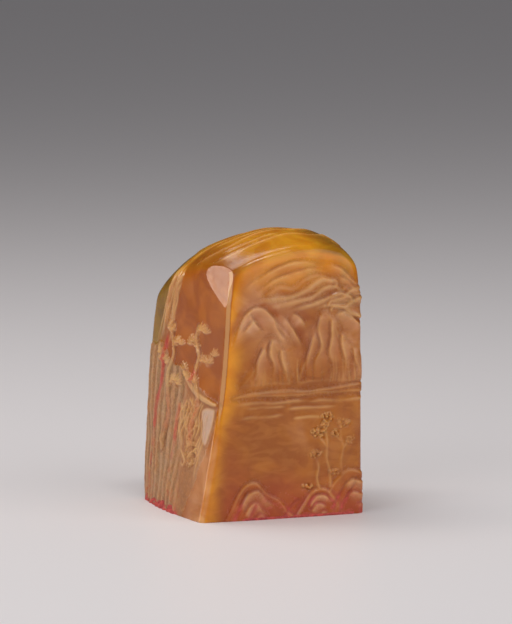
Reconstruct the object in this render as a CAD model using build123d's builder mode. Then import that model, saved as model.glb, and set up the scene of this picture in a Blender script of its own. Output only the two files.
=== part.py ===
from build123d import *
import os
from math import hypot

# Carved landscape seal: a squared block of honey-coloured soapstone that leans in a little towards its
# top, a domed crown, and thin carving left standing on its faces. The flat foot is the seal face.
# Lengths in mm. Origin at the centre of the seal face, +Z up, the main picture faces -Y.

# Block
face_width = 41.0
face_depth = 39.5
height = 65.9
rim_radius = 1.5
front_swell = 0.3
right_swell = 0.5
back_swell = 0.5
left_swell = 1.2
front_left_radius = 1.6
front_right_radius = 1.5
back_right_radius = 2.5
back_left_radius = 3.5

# Crown: the ridge runs left to right, and the stone falls away from it to the front and the back
crown_radius = 44.0
ridge_forward = 4.0

# How far each kind of carving stands proud of the block
rock_relief = 0.5
grove_relief = 0.5
shore_relief = 0.4
peak_relief = 0.3
cloud_relief = 0.45
ridge_relief = 0.45
skin_relief = 0.35
pine_relief = 0.7
cascade_relief = 0.5
vein_relief = 0.45
back_relief = 0.35
side_relief = 0.4
paste_relief = 0.6

# Widths of the drawn lines
trunk_width = 1.3
branch_width = 0.8
strand_width = 0.7
shore_line_width = 0.7
ridge_line_width = 1.5
vein_width = 0.8
foot_paste_height = 0.7

# Seal face
border_width = 2.0
legend_depth = 1.2
fret_line = 1.3
fret_core = 0.7
fret_clearance = 0.925
boss_radius = 2.4
paste_film = 0.2

# How far a prism stands off the stone, and how far carving may wrap past an edge of its own face
clearance = 2.0
wrap = 5.0
left_wrap = 8.0

half_width = face_width / 2
half_depth = face_depth / 2

# Plan corners at five levels, as shares of the half sizes: front left, front right, back right, back left
level_shares = (0, 0.18, 0.40, 0.66, 1.03)
corner_shares = (
    ((-0.985, -1.00), (0.985, -1.00), (0.985, 1.00), (-1.00, 1.00)),
    ((-0.865, -0.99), (0.985, -0.995), (0.985, 0.995), (-0.99, 0.995)),
    ((-0.745, -0.98), (0.985, -0.985), (0.975, 0.98), (-0.965, 0.98)),
    ((-0.660, -0.97), (0.985, -0.97), (0.955, 0.95), (-0.92, 0.94)),
    ((-0.585, -0.95), (0.98, -0.95), (0.92, 0.91), (-0.85, 0.89)),
)
corner_radii = (front_left_radius, front_right_radius, back_right_radius, back_left_radius)
side_swells = (front_swell, right_swell, back_swell, left_swell)

# The crown's line seen from the front: shares of the half width and of the height
crown_shares = (
    (-1.38, 0.624), (-1.14, 0.729), (-0.90, 0.838), (-0.47, 0.943), (0, 0.989), (0.34, 1.0),
    (0.64, 0.989), (0.83, 0.966), (0.955, 0.922), (1.02, 0.855), (1.06, 0.765), (1.09, 0.610),
)


def plan_section(level_share, corners):
    """One plan of the block: four slightly swelled sides and rounded corners."""
    level = level_share * height
    points = [(x_share * half_width, y_share * half_depth) for x_share, y_share in corners]
    with BuildSketch(Plane.XY.offset(level)) as plan:
        with BuildLine():
            for turn, swell in enumerate(side_swells):
                SagittaArc(points[turn], points[(turn + 1) % 4], -swell)
        make_face()
        for point, radius in zip(points, corner_radii):
            corner = plan.vertices().sort_by_distance((*point, level))[0]
            fillet(corner, radius)
    return plan.sketch


# The uncut block

with BuildPart() as column:
    loft(sections=[plan_section(share, corners) for share, corners in zip(level_shares, corner_shares)])

axle_height = height - crown_radius
crown_plane = Plane.XZ.offset(ridge_forward)
crown_axis = Axis((0, -ridge_forward, axle_height), (1, 0, 0))
crown_points = [(x_share * half_width, z_share * height) for x_share, z_share in crown_shares]
left_end = crown_points[0]
right_end = crown_points[-1]

with BuildPart() as crown:
    with BuildSketch(crown_plane):
        with BuildLine():
            Spline(*crown_points)
            Polyline(right_end, (right_end[0], axle_height), (left_end[0], axle_height), left_end)
        make_face()
    revolve(axis=crown_axis)
    foot_room = (Align.CENTER, Align.CENTER, Align.MIN)
    Box(2 * face_width, 2 * face_depth, axle_height, align=foot_room)

with BuildPart() as blank:
    add(column.part)
    add(crown.part, mode=Mode.INTERSECT)
    crown_face = blank.faces().sort_by(Axis.Z)[-1]
    fillet(crown_face.edges(), rim_radius)


def envelope(relief):
    """The uncut block grown by the height of one kind of carving, its foot still on the seal plane."""
    growth = (1 + relief / half_width, 1 + relief / half_depth, 1 + relief / height)
    return scale(blank.part, by=growth, mode=Mode.PRIVATE)


# Views of the faces: local x runs to the right as each face is seen, local y runs up

front_view = Plane.XZ.offset(half_depth + clearance)
back_view = Plane(origin=(0, half_depth + clearance, 0), x_dir=(-1, 0, 0), z_dir=(0, 1, 0))
left_view = Plane(origin=(-half_width - clearance, 0, 0), x_dir=(0, -1, 0), z_dir=(-1, 0, 0))
right_view = Plane(origin=(half_width + clearance, 0, 0), x_dir=(0, 1, 0), z_dir=(1, 0, 0))
top_view = Plane.XY.offset(height + clearance)


def blob(shares, across, up):
    """A closed smooth outline through a few points, given as shares of two sizes."""
    points = [(x_share * across, y_share * up) for x_share, y_share in shares]
    with BuildSketch() as outline:
        with BuildLine():
            Spline(*points, periodic=True)
        make_face()
    return outline.sketch


def stroke(shares, across, up, width):
    """A line with body: it swells to its full width in the middle and is pointed at both ends."""
    points = [(x_share * across, y_share * up) for x_share, y_share in shares]
    near_side = [points[0]]
    far_side = [points[0]]
    for before, point, after in zip(points, points[1:], points[2:]):
        run = (after[0] - before[0], after[1] - before[1])
        half = width / 2 / hypot(*run)
        near_side.append((point[0] - run[1] * half, point[1] + run[0] * half))
        far_side.append((point[0] + run[1] * half, point[1] - run[0] * half))
    near_side.append(points[-1])
    far_side.append(points[-1])
    with BuildSketch() as outline:
        with BuildLine():
            Spline(*near_side)
            Spline(*far_side)
        make_face()
    return outline.sketch


# Legend: a raised border, four square frets turned about a round boss, the ground cut away between them

border_x = half_width - border_width
border_y = half_depth - border_width
legend_reach = min(border_x, border_y)
fret_centre = (legend_reach + boss_radius) / 2
fret_reach = legend_reach - fret_clearance - fret_line / 2 - fret_centre
fret_inner = (fret_reach + fret_core) / 2
fret_points = (
    (-fret_reach, -fret_reach), (-fret_reach, fret_reach), (fret_reach, fret_reach),
    (fret_reach, -fret_reach), (-fret_inner, -fret_reach), (-fret_inner, fret_inner),
    (fret_inner, fret_inner), (fret_inner, -fret_inner), (-fret_core, -fret_inner),
    (-fret_core, fret_core), (fret_core, fret_core),
)
quarter_turns = 4
first_turn = 45

with BuildSketch() as fret:
    with BuildLine():
        Polyline(*fret_points)
    trace(line_width=fret_line)

with BuildSketch() as legend_ground:
    Rectangle(2 * border_x, 2 * border_y)
    with PolarLocations(hypot(fret_centre, fret_centre), quarter_turns, start_angle=first_turn):
        add(fret.sketch, rotation=-first_turn, mode=Mode.SUBTRACT)
    Circle(boss_radius, mode=Mode.SUBTRACT)

with BuildPart() as stone_core:
    add(blank.part)
    add(legend_ground.sketch)
    extrude(amount=legend_depth, mode=Mode.SUBTRACT)

with BuildPart() as paste_legend:
    with BuildSketch(Plane.XY.offset(legend_depth - paste_film)):
        add(legend_ground.sketch)
    extrude(amount=paste_film)

# Front face: rocks at the foot, a grove on them, sand bars across the water, peaks beyond, cloud above

rock_shares = (
    ((-0.66, -0.04), (-0.60, 0.06), (-0.46, 0.125), (-0.28, 0.135), (-0.16, 0.085), (0.00, 0.065),
     (0.10, 0.02), (0.12, -0.04)),
    ((0.20, -0.04), (0.24, 0.05), (0.36, 0.105), (0.52, 0.10), (0.62, 0.13), (0.80, 0.165),
     (1.00, 0.15), (1.25, 0.12), (1.25, -0.04)),
)
with BuildPart() as front_rocks:
    with BuildSketch(front_view):
        for shares in rock_shares:
            add(blob(shares, half_width, height))
    extrude(amount=-wrap - clearance)
    add(envelope(rock_relief), mode=Mode.INTERSECT)
    add(blank.part, mode=Mode.SUBTRACT)

grove_shares = (
    ((0.55, 0.13), (0.56, 0.19), (0.52, 0.24), (0.54, 0.30), (0.51, 0.345)),
    ((0.72, 0.15), (0.71, 0.20), (0.74, 0.25), (0.72, 0.29), (0.74, 0.325)),
)
crown_of_tree_shares = (
    ((0.36, 0.29), (0.42, 0.315), (0.50, 0.32), (0.56, 0.305), (0.53, 0.285), (0.44, 0.278)),
    ((0.47, 0.345), (0.53, 0.37), (0.61, 0.362), (0.63, 0.345), (0.55, 0.335)),
    ((0.62, 0.255), (0.68, 0.275), (0.78, 0.272), (0.84, 0.255), (0.74, 0.24)),
    ((0.66, 0.315), (0.72, 0.345), (0.80, 0.338), (0.82, 0.318), (0.74, 0.305)),
)
with BuildPart() as front_grove:
    with BuildSketch(front_view):
        for shares in grove_shares:
            add(stroke(shares, half_width, height, trunk_width))
        for shares in crown_of_tree_shares:
            add(blob(shares, half_width, height))
    extrude(amount=-wrap - clearance)
    add(envelope(grove_relief), mode=Mode.INTERSECT)
    add(blank.part, mode=Mode.SUBTRACT)
    add(front_rocks.part, mode=Mode.SUBTRACT)

bar_shares = (
    (-0.58, 0.432), (-0.35, 0.452), (0.00, 0.458), (0.35, 0.450), (0.70, 0.462), (1.10, 0.470),
    (1.10, 0.425), (0.65, 0.436), (0.20, 0.428), (-0.20, 0.434),
)
shore_line_shares = (
    ((-0.60, 0.408), (-0.38, 0.413), (-0.10, 0.410), (0.16, 0.414), (0.34, 0.411)),
    ((0.02, 0.385), (0.24, 0.389), (0.48, 0.386), (0.70, 0.391)),
    ((-0.52, 0.362), (-0.34, 0.366), (-0.12, 0.363), (0.02, 0.366)),
)
with BuildPart() as far_shore:
    with BuildSketch(front_view):
        add(blob(bar_shares, half_width, height))
        for shares in shore_line_shares:
            add(stroke(shares, half_width, height, shore_line_width))
    extrude(amount=-wrap - clearance)
    add(envelope(shore_relief), mode=Mode.INTERSECT)
    add(blank.part, mode=Mode.SUBTRACT)

peak_shares = (
    ((-0.50, 0.475), (-0.36, 0.545), (-0.24, 0.625), (-0.10, 0.648), (0.02, 0.590), (0.10, 0.515),
     (0.12, 0.475), (-0.20, 0.480)),
    ((0.20, 0.480), (0.26, 0.560), (0.36, 0.670), (0.50, 0.735), (0.66, 0.700), (0.80, 0.620),
     (1.12, 0.575), (1.12, 0.490), (0.60, 0.482)),
)
with BuildPart() as mountain_peaks:
    with BuildSketch(front_view):
        for shares in peak_shares:
            add(blob(shares, half_width, height))
    extrude(amount=-wrap - clearance)
    add(envelope(peak_relief), mode=Mode.INTERSECT)
    add(blank.part, mode=Mode.SUBTRACT)
    add(far_shore.part, mode=Mode.SUBTRACT)

cloud_shares = (
    ((-0.20, 0.795), (-0.05, 0.825), (0.12, 0.820), (0.26, 0.845), (0.44, 0.862), (0.58, 0.845),
     (0.62, 0.815), (0.50, 0.795), (0.30, 0.790), (0.12, 0.782), (-0.06, 0.780)),
    ((0.58, 0.770), (0.68, 0.800), (0.80, 0.812), (0.92, 0.795), (1.12, 0.790), (1.12, 0.735),
     (0.90, 0.745), (0.76, 0.752)),
)
with BuildPart() as shoulder_clouds:
    with BuildSketch(front_view):
        for shares in cloud_shares:
            add(blob(shares, half_width, height))
    extrude(amount=-wrap - clearance)
    add(envelope(cloud_relief), mode=Mode.INTERSECT)
    add(blank.part, mode=Mode.SUBTRACT)

# Crown: three long swelling ridges that follow the stone from the left shoulder over the top

ridge_shares = (
    ((-0.62, -0.58), (-0.35, -0.62), (-0.05, -0.56), (0.25, -0.50), (0.50, -0.56), (0.72, -0.48)),
    ((-0.68, -0.28), (-0.40, -0.34), (-0.10, -0.26), (0.20, -0.20), (0.45, -0.26), (0.66, -0.18)),
    ((-0.60, 0.06), (-0.30, -0.02), (0.00, 0.06), (0.28, 0.12), (0.50, 0.04)),
)
with BuildPart() as crown_ridges:
    with BuildSketch(top_view):
        for shares in ridge_shares:
            add(stroke(shares, half_width, half_depth, ridge_line_width))
    extrude(amount=-height / 2)
    add(envelope(ridge_relief), mode=Mode.INTERSECT)
    add(blank.part, mode=Mode.SUBTRACT)

# Left face: pale crusted skin over the lower part with a red vein down it, pines rising out of it, and
# a cascade from the rear shoulder

vein_shares = ((-0.38, 0.60), (-0.44, 0.48), (-0.54, 0.36), (-0.60, 0.22), (-0.68, 0.10), (-0.73, 0.03))
with BuildPart() as red_vein:
    with BuildSketch(left_view):
        add(stroke(vein_shares, half_depth, height, vein_width))
    extrude(amount=-left_wrap - clearance)
    add(envelope(vein_relief), mode=Mode.INTERSECT)
    add(blank.part, mode=Mode.SUBTRACT)

skin_shares = (
    (0.84, -0.04), (0.90, 0.12), (0.93, 0.24), (0.90, 0.37), (0.66, 0.42), (0.46, 0.47), (0.22, 0.50),
    (-0.05, 0.50), (-0.30, 0.55), (-0.52, 0.575), (-0.78, 0.56), (-1.30, 0.58), (-1.30, 0.20),
    (-1.30, -0.04),
)
with BuildPart() as cliff_skin:
    with BuildSketch(left_view):
        add(blob(skin_shares, half_depth, height))
    extrude(amount=-left_wrap - clearance)
    add(envelope(skin_relief), mode=Mode.INTERSECT)
    add(blank.part, mode=Mode.SUBTRACT)
    add(red_vein.part, mode=Mode.SUBTRACT)

pine_shares = (
    ((0.52, 0.16), (0.46, 0.30), (0.50, 0.42), (0.42, 0.52), (0.44, 0.60), (0.38, 0.66)),
    ((-0.28, 0.22), (-0.20, 0.36), (-0.26, 0.48), (-0.18, 0.58), (-0.22, 0.64)),
)
pine_branch_shares = (
    ((0.46, 0.44), (0.34, 0.475), (0.22, 0.485), (0.10, 0.51)),
    ((0.45, 0.54), (0.56, 0.565), (0.66, 0.56), (0.76, 0.58)),
    ((-0.22, 0.50), (-0.34, 0.53), (-0.44, 0.53), (-0.50, 0.55)),
    ((-0.22, 0.44), (-0.10, 0.46), (0.02, 0.455)),
)
with BuildPart() as cliff_pines:
    with BuildSketch(left_view):
        for shares in pine_shares:
            add(stroke(shares, half_depth, height, trunk_width))
        for shares in pine_branch_shares:
            add(stroke(shares, half_depth, height, branch_width))
    extrude(amount=-left_wrap - clearance)
    add(envelope(pine_relief), mode=Mode.INTERSECT)
    add(blank.part, mode=Mode.SUBTRACT)
    add(cliff_skin.part, mode=Mode.SUBTRACT)
    add(red_vein.part, mode=Mode.SUBTRACT)

strand_start_shares = (-0.24, -0.32, -0.40, -0.48, -0.55)
strand_level_shares = (0.80, 0.76, 0.72, 0.68, 0.64, 0.60)
strand_lean_share = -0.03
with BuildPart() as rear_cascade:
    with BuildSketch(left_view):
        for start in strand_start_shares:
            fall = []
            for step, level_share in enumerate(strand_level_shares):
                fall.append((start + step * strand_lean_share, level_share))
            add(stroke(fall, half_depth, height, strand_width))
    extrude(amount=-left_wrap - clearance)
    add(envelope(cascade_relief), mode=Mode.INTERSECT)
    add(blank.part, mode=Mode.SUBTRACT)
    add(cliff_skin.part, mode=Mode.SUBTRACT)
    add(red_vein.part, mode=Mode.SUBTRACT)

# Back and right faces: low hills and a bank, quieter than the front

hill_shares = (
    ((-0.80, 0.20), (-0.58, 0.30), (-0.36, 0.42), (-0.20, 0.45), (-0.04, 0.38), (0.14, 0.31),
     (0.30, 0.24), (-0.30, 0.205)),
    ((0.22, 0.30), (0.40, 0.40), (0.58, 0.52), (0.70, 0.50), (0.82, 0.40), (0.84, 0.30), (0.52, 0.285)),
)
with BuildPart() as back_hills:
    with BuildSketch(back_view):
        for shares in hill_shares:
            add(blob(shares, half_width, height))
    extrude(amount=-wrap - clearance)
    add(envelope(back_relief), mode=Mode.INTERSECT)
    add(blank.part, mode=Mode.SUBTRACT)
    add(cliff_skin.part, mode=Mode.SUBTRACT)

back_cloud_shares = (
    ((-0.62, 0.62), (-0.45, 0.655), (-0.25, 0.650), (-0.05, 0.675), (0.20, 0.665), (0.30, 0.640),
     (0.05, 0.625), (-0.30, 0.610)),
)
with BuildPart() as back_cloud:
    with BuildSketch(back_view):
        for shares in back_cloud_shares:
            add(blob(shares, half_width, height))
    extrude(amount=-wrap - clearance)
    add(envelope(back_relief), mode=Mode.INTERSECT)
    add(blank.part, mode=Mode.SUBTRACT)

bank_shares = (
    (-0.62, -0.04), (-0.58, 0.10), (-0.40, 0.155), (-0.15, 0.165), (0.10, 0.12), (0.35, 0.13), (0.58, 0.175),
    (0.80, 0.16), (0.86, 0.08), (0.86, -0.04),
)
with BuildPart() as right_bank:
    with BuildSketch(right_view):
        add(blob(bank_shares, half_depth, height))
    extrude(amount=-wrap - clearance)
    add(envelope(side_relief), mode=Mode.INTERSECT)
    add(blank.part, mode=Mode.SUBTRACT)
    add(front_rocks.part, mode=Mode.SUBTRACT)

# Dried vermilion paste caught along the foot of the left face and in the carving of the front foot

left_paste_shares = (
    (-0.90, -0.03), (-0.88, 0.030), (-0.76, 0.045), (-0.66, 0.022), (-0.52, 0.030), (-0.36, 0.014),
    (-0.20, 0.026), (-0.02, 0.012), (0.16, 0.030), (0.30, 0.010), (0.34, -0.03),
)
with BuildPart() as paste_left_foot:
    with BuildSketch(left_view):
        add(blob(left_paste_shares, half_depth, height))
    extrude(amount=-left_wrap - clearance)
    add(envelope(paste_relief), mode=Mode.INTERSECT)
    add(blank.part, mode=Mode.SUBTRACT)
    add(cliff_skin.part, mode=Mode.SUBTRACT)
    add(red_vein.part, mode=Mode.SUBTRACT)

front_paste_shares = ((-0.62, 0.25), (-0.30, 0.45), (0.10, 0.50), (0.50, 0.50), (0.96, 0.45))
with BuildPart() as paste_front_foot:
    with BuildSketch(front_view):
        add(stroke(front_paste_shares, half_width, foot_paste_height, foot_paste_height))
    extrude(amount=-wrap - clearance)
    add(envelope(rock_relief + paste_film), mode=Mode.INTERSECT)
    add(blank.part, mode=Mode.SUBTRACT)
    add(front_rocks.part, mode=Mode.SUBTRACT)

# Labels and files

pieces = {
    "stone_core": stone_core,
    "front_rocks": front_rocks,
    "front_grove": front_grove,
    "far_shore": far_shore,
    "mountain_peaks": mountain_peaks,
    "shoulder_clouds": shoulder_clouds,
    "crown_ridges": crown_ridges,
    "cliff_skin": cliff_skin,
    "cliff_pines": cliff_pines,
    "rear_cascade": rear_cascade,
    "red_vein": red_vein,
    "back_hills": back_hills,
    "back_cloud": back_cloud,
    "right_bank": right_bank,
    "paste_left_foot": paste_left_foot,
    "paste_front_foot": paste_front_foot,
    "paste_legend": paste_legend,
}
os.makedirs("parts", exist_ok=True)
for name, piece in pieces.items():
    piece.part.label = name
    export_step(piece.part, f"parts/{name}.step")
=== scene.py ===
from math import atan2, cos, pi, radians, sin

import bpy
import numpy as np
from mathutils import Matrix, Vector
from mathutils.bvhtree import BVHTree


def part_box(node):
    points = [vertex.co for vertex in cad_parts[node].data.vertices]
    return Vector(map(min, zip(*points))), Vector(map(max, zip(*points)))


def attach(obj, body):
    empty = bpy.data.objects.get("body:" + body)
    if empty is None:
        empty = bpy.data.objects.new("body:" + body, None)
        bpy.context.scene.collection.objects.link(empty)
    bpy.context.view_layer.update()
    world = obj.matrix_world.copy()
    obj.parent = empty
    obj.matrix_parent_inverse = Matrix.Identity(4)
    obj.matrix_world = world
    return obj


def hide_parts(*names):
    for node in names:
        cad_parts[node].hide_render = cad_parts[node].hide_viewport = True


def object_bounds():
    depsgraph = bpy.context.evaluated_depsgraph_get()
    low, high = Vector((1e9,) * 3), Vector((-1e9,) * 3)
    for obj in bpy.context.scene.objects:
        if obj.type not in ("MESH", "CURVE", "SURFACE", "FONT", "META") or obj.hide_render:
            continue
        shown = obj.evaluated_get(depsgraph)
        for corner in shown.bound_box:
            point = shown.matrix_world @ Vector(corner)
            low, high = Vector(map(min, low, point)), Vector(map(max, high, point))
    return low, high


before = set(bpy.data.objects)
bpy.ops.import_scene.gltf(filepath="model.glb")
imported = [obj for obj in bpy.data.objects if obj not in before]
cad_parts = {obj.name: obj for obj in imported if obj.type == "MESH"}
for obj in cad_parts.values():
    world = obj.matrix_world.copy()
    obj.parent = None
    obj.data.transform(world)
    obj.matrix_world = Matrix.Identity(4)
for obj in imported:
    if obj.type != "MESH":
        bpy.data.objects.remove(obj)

cad_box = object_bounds()

# Sizes are in mm here and become metres where a mesh is made
MM = 0.001
half_width = 20.5
half_depth = 19.75
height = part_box("stone_core")[1].z / MM
grid_step = 0.2
wall_share = 0.95

# No carving stands higher than this
most_relief = 1.1

# The rim: how far in and down it is looked for, how far its wear reaches and how strong that is
rim_inset = 0.75
rim_drop = 1.2
rim_reach = 8.5
rim_wear = 13.0

# The polished strip down the near edge and the flat over the shoulder: the way each faces, and its depth
strip_out = (-0.655, -0.757, 0.0)
strip_depth = 0.11
flat_out = (-0.916, -0.339, 0.216)
flat_depth = 0.75

# Camera in degrees and mm, solved from the corners of the foot and the outline of the stone
camera_azimuth = -21.03
camera_elevation = 7.11
camera_distance = 1000.0
camera_target = (1.08, 0.0, 45.99)
camera_lens = 244.65


def smooth(value, low, high):
    """0 below low, 1 above high, and an even ease between them. low may be above high."""
    share = np.clip((value - low) / (high - low), 0.0, 1.0)
    return share * share * (3.0 - 2.0 * share)


def bell(value, width):
    """1 at 0, falling evenly to nothing about two widths to each side."""
    return np.exp(-(value / width) ** 2)


# Noise on points

stride_x, stride_y, stride_z, stride_seed = 374761393, 668265263, 2147483647, 1274126177
low_bits = 0xFFFFFFFF
layer_sum = 1.9


def lattice(cells, seed):
    """A repeatable random value from 0 to 1 for each whole-number cell."""
    mixed = cells[:, 0] * stride_x + cells[:, 1] * stride_y + cells[:, 2] * stride_z + seed * stride_seed
    mixed = (mixed ^ (mixed >> 13)) & low_bits
    mixed = (mixed * stride_seed) & low_bits
    mixed = (mixed ^ (mixed >> 16)) & low_bits
    return mixed / low_bits


def noise(points, size, seed=0):
    """Smooth noise from -1 to 1 with lumps of about this size; size may differ by axis."""
    scaled = points / np.asarray(size, float)
    cell = np.floor(scaled).astype(np.int64)
    part = scaled - cell
    part = part * part * (3.0 - 2.0 * part)
    total = np.zeros(len(points))
    for corner in range(8):
        step = np.array([corner & 1, corner >> 1 & 1, corner >> 2 & 1])
        weight = np.prod(np.where(step, part, 1.0 - part), axis=1)
        total += weight * lattice(cell + step, seed)
    return total * 2.0 - 1.0


def layered_noise(points, size, seed=0, layers=4):
    """Noise with finer and weaker lumps on top of the first."""
    total = np.zeros(len(points))
    for layer in range(layers):
        total += noise(points, np.asarray(size, float) / 2.0 ** layer, seed + layer) * 0.5 ** layer
    return total / layer_sum


# The stone's surface as one grid: a wall of columns, closed by a crown and a foot


def core_tree():
    """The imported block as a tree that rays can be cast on."""
    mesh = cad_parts["stone_core"].data
    corners = [v.co / MM for v in mesh.vertices]
    return BVHTree.FromPolygons(corners, [tuple(p.vertices) for p in mesh.polygons])


tree = core_tree()


def cast(origin, direction):
    hit = tree.ray_cast(Vector(origin), Vector(direction))[0]
    return tuple(hit) if hit is not None else None


def between(edge_low, edge_high, edge_left, edge_right):
    """A grid of plan points inside four edges, each edge an array of points."""
    count_x, count_y = len(edge_low) - 1, len(edge_left) - 1
    u = np.linspace(0, 1, count_x + 1)[:, None, None]
    v = np.linspace(0, 1, count_y + 1)[None, :, None]
    low, high = edge_low[:, None, :], edge_high[:, None, :]
    left, right = edge_left[None, :, :], edge_right[None, :, :]
    corners = ((1 - u) * (1 - v) * edge_low[0] + u * (1 - v) * edge_low[-1]
               + (1 - u) * v * edge_high[0] + u * v * edge_high[-1])
    return (1 - v) * low + v * high + (1 - u) * left + u * right - corners


class Grid:
    """Points, quads and unrolled places of the uncarved stone."""

    def __init__(self, step):
        self.step = step
        self.nx = round(2 * half_width / step)
        self.ny = round(2 * half_depth / step)
        self.rows = round(wall_share * height / step)
        self.columns = 2 * (self.nx + self.ny)
        self.ring_angles()
        self.wall()
        self.caps()
        self.ease_rim()
        self.cut_near_edge()
        self.find_normals()

    def ring_angles(self):
        """The direction of each column, evenly spaced round a rectangle of the stone's width and depth."""
        nx, ny = self.nx, self.ny
        along_x = (np.arange(nx) / nx * 2 - 1) * half_width
        along_y = (np.arange(ny) / ny * 2 - 1) * half_depth
        x = np.concatenate([along_x, np.full(ny, half_width), -along_x, np.full(ny, -half_width)])
        y = np.concatenate([np.full(nx, -half_depth), along_y, np.full(nx, half_depth), -along_y])
        self.angle = np.arctan2(y, x)

    def outward(self, angle, level):
        far = 2 * half_width
        return cast((cos(angle) * far, sin(angle) * far, level), (-cos(angle), -sin(angle), 0))

    def rim_level(self, angle):
        """The height of the rounded rim in this direction, found by looking down just inside the wall."""
        level = 0.7 * height
        for _ in range(3):
            wall = self.outward(angle, level)
            reach = np.hypot(wall[0], wall[1]) - rim_inset
            crown = cast((cos(angle) * reach, sin(angle) * reach, 2 * height), (0, 0, -1))
            level = crown[2] - rim_drop
        return crown[2]

    def wall(self):
        """Columns of points from the foot up to the rim."""
        rim = [self.rim_level(angle) for angle in self.angle]
        lowest = 0.0005
        points = np.zeros((self.rows + 1, self.columns, 3))
        for column, (angle, top) in enumerate(zip(self.angle, rim)):
            for row in range(self.rows + 1):
                level = max(top * row / self.rows, lowest)
                points[row, column] = self.outward(angle, level)
        points[0, :, 2] = 0.0
        self.wall_points = points

    def ring_edges(self, ring):
        """The four edges of a ring of columns, as along the front, the back, the left and the right."""
        nx, ny = self.nx, self.ny
        closed = np.concatenate([ring, ring[:1]])
        front, right = closed[:nx + 1], closed[nx:nx + ny + 1]
        back, left = closed[nx + ny:2 * nx + ny + 1][::-1], closed[2 * nx + ny:][::-1]
        return front, back, left, right

    def caps(self):
        """The crown and the foot as grids inside the top and the bottom ring, and all the quads."""
        nx, ny, columns = self.nx, self.ny, self.columns
        top_plan = between(*self.ring_edges(self.wall_points[-1][:, :2]))
        foot_plan = between(*self.ring_edges(self.wall_points[0][:, :2]))
        top, foot = [], []
        for i in range(1, nx):
            for j in range(1, ny):
                top.append(cast((*top_plan[i, j], 2 * height), (0, 0, -1)))
                foot.append(cast((*foot_plan[i, j], -1.0), (0, 0, 1)))
        wall = self.wall_points.reshape(-1, 3)
        self.points = np.concatenate([wall, np.array(top), np.array(foot)])
        k = np.arange(columns)
        around = np.roll(k, -1)
        rows = np.arange(self.rows)[:, None] * columns
        side = np.stack([rows + k, rows + around, rows + columns + around, rows + columns + k], axis=-1)
        self.quads = [side.reshape(-1, 4)]
        start = len(wall)
        inner = (nx - 1) * (ny - 1)
        for first, base, flip in ((start, self.rows * columns, False), (start + inner, 0, True)):
            index = np.zeros((nx + 1, ny + 1), int)
            index[1:nx, 1:ny] = first + np.arange(inner).reshape(nx - 1, ny - 1)
            front, back, left, right = self.ring_edges(base + k)
            index[:, 0], index[:, ny], index[0, :], index[nx, :] = front, back, left, right
            quad = np.stack([index[:-1, :-1], index[1:, :-1], index[1:, 1:], index[:-1, 1:]], axis=-1)
            quad = quad.reshape(-1, 4)
            self.quads.append(quad[:, ::-1] if flip else quad)
        self.wall_count, self.top_count = start, inner

    def ease_rim(self):
        """Wear the rim between the crown and the walls to a softer round."""
        nx, ny = self.nx, self.ny
        reach, rounds = rim_reach / self.step, round(rim_wear / self.step ** 2)
        wall_gap = np.repeat(self.rows - np.arange(self.rows + 1), self.columns)
        i, j = np.meshgrid(np.arange(1, nx), np.arange(1, ny), indexing="ij")
        cap_gap = np.minimum(np.minimum(i, nx - i), np.minimum(j, ny - j)).reshape(-1)
        gap = np.concatenate([wall_gap, cap_gap, np.full(self.top_count, 2 * reach)])
        share = smooth(gap, reach, reach * 0.4)
        quads = np.concatenate(self.quads)
        ends = np.concatenate([quads[:, [k, (k + 1) % 4]] for k in range(4)])
        ends = np.concatenate([ends, ends[:, ::-1]])
        ends = ends[share[ends[:, 0]] > 0]
        moving, where = np.unique(ends[:, 0], return_inverse=True)
        total = np.bincount(where)[:, None]
        for _ in range(rounds):
            near = self.points[ends[:, 1]]
            mean = np.stack([np.bincount(where, near[:, axis]) for axis in range(3)], axis=1) / total
            self.points[moving] += (mean - self.points[moving]) * 0.5 * share[moving][:, None]

    def cut_near_edge(self):
        """A narrow polished flat down the near edge, and a broader one across the shoulder above it."""
        p = self.points
        wall = p[:self.wall_count].reshape(self.rows + 1, self.columns, 3)
        out = np.array(strip_out)
        reach = wall @ out
        limit = reach.max(axis=1) - strip_depth * smooth(wall[:, 0, 2] / height, 0.33, 0.45)
        over = np.maximum(reach - limit[:, None], 0.0)
        wall -= over[..., None] * out
        # The strip's mask, later painted pale as a painted highlight
        self.bevel = np.zeros(len(p))
        self.bevel[:self.wall_count] = smooth(over, 0.0, 0.05).reshape(-1)
        out = np.array(flat_out)
        out /= np.linalg.norm(out)
        above = p[:, 2] > 0.6 * height
        corner = above & (p[:, 1] < -0.8 * half_depth) & (p[:, 0] < -0.4 * half_width)
        limit = (p[corner] @ out).max() - flat_depth
        near = above & (p[:, 1] < 0.1 * half_depth) & (p[:, 0] < 0)
        over = np.where(near, np.maximum(p @ out - limit, 0.0), 0.0)
        p -= over[:, None] * out

    def find_normals(self):
        quads = np.concatenate(self.quads)
        self.all_quads = quads
        p = self.points
        cross = np.cross(p[quads[:, 2]] - p[quads[:, 0]], p[quads[:, 3]] - p[quads[:, 1]])
        total = np.zeros_like(p)
        for corner in range(4):
            np.add.at(total, quads[:, corner], cross)
        total /= np.linalg.norm(total, axis=1)[:, None] + 1e-12
        self.normals = total
        self.unroll()

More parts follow.
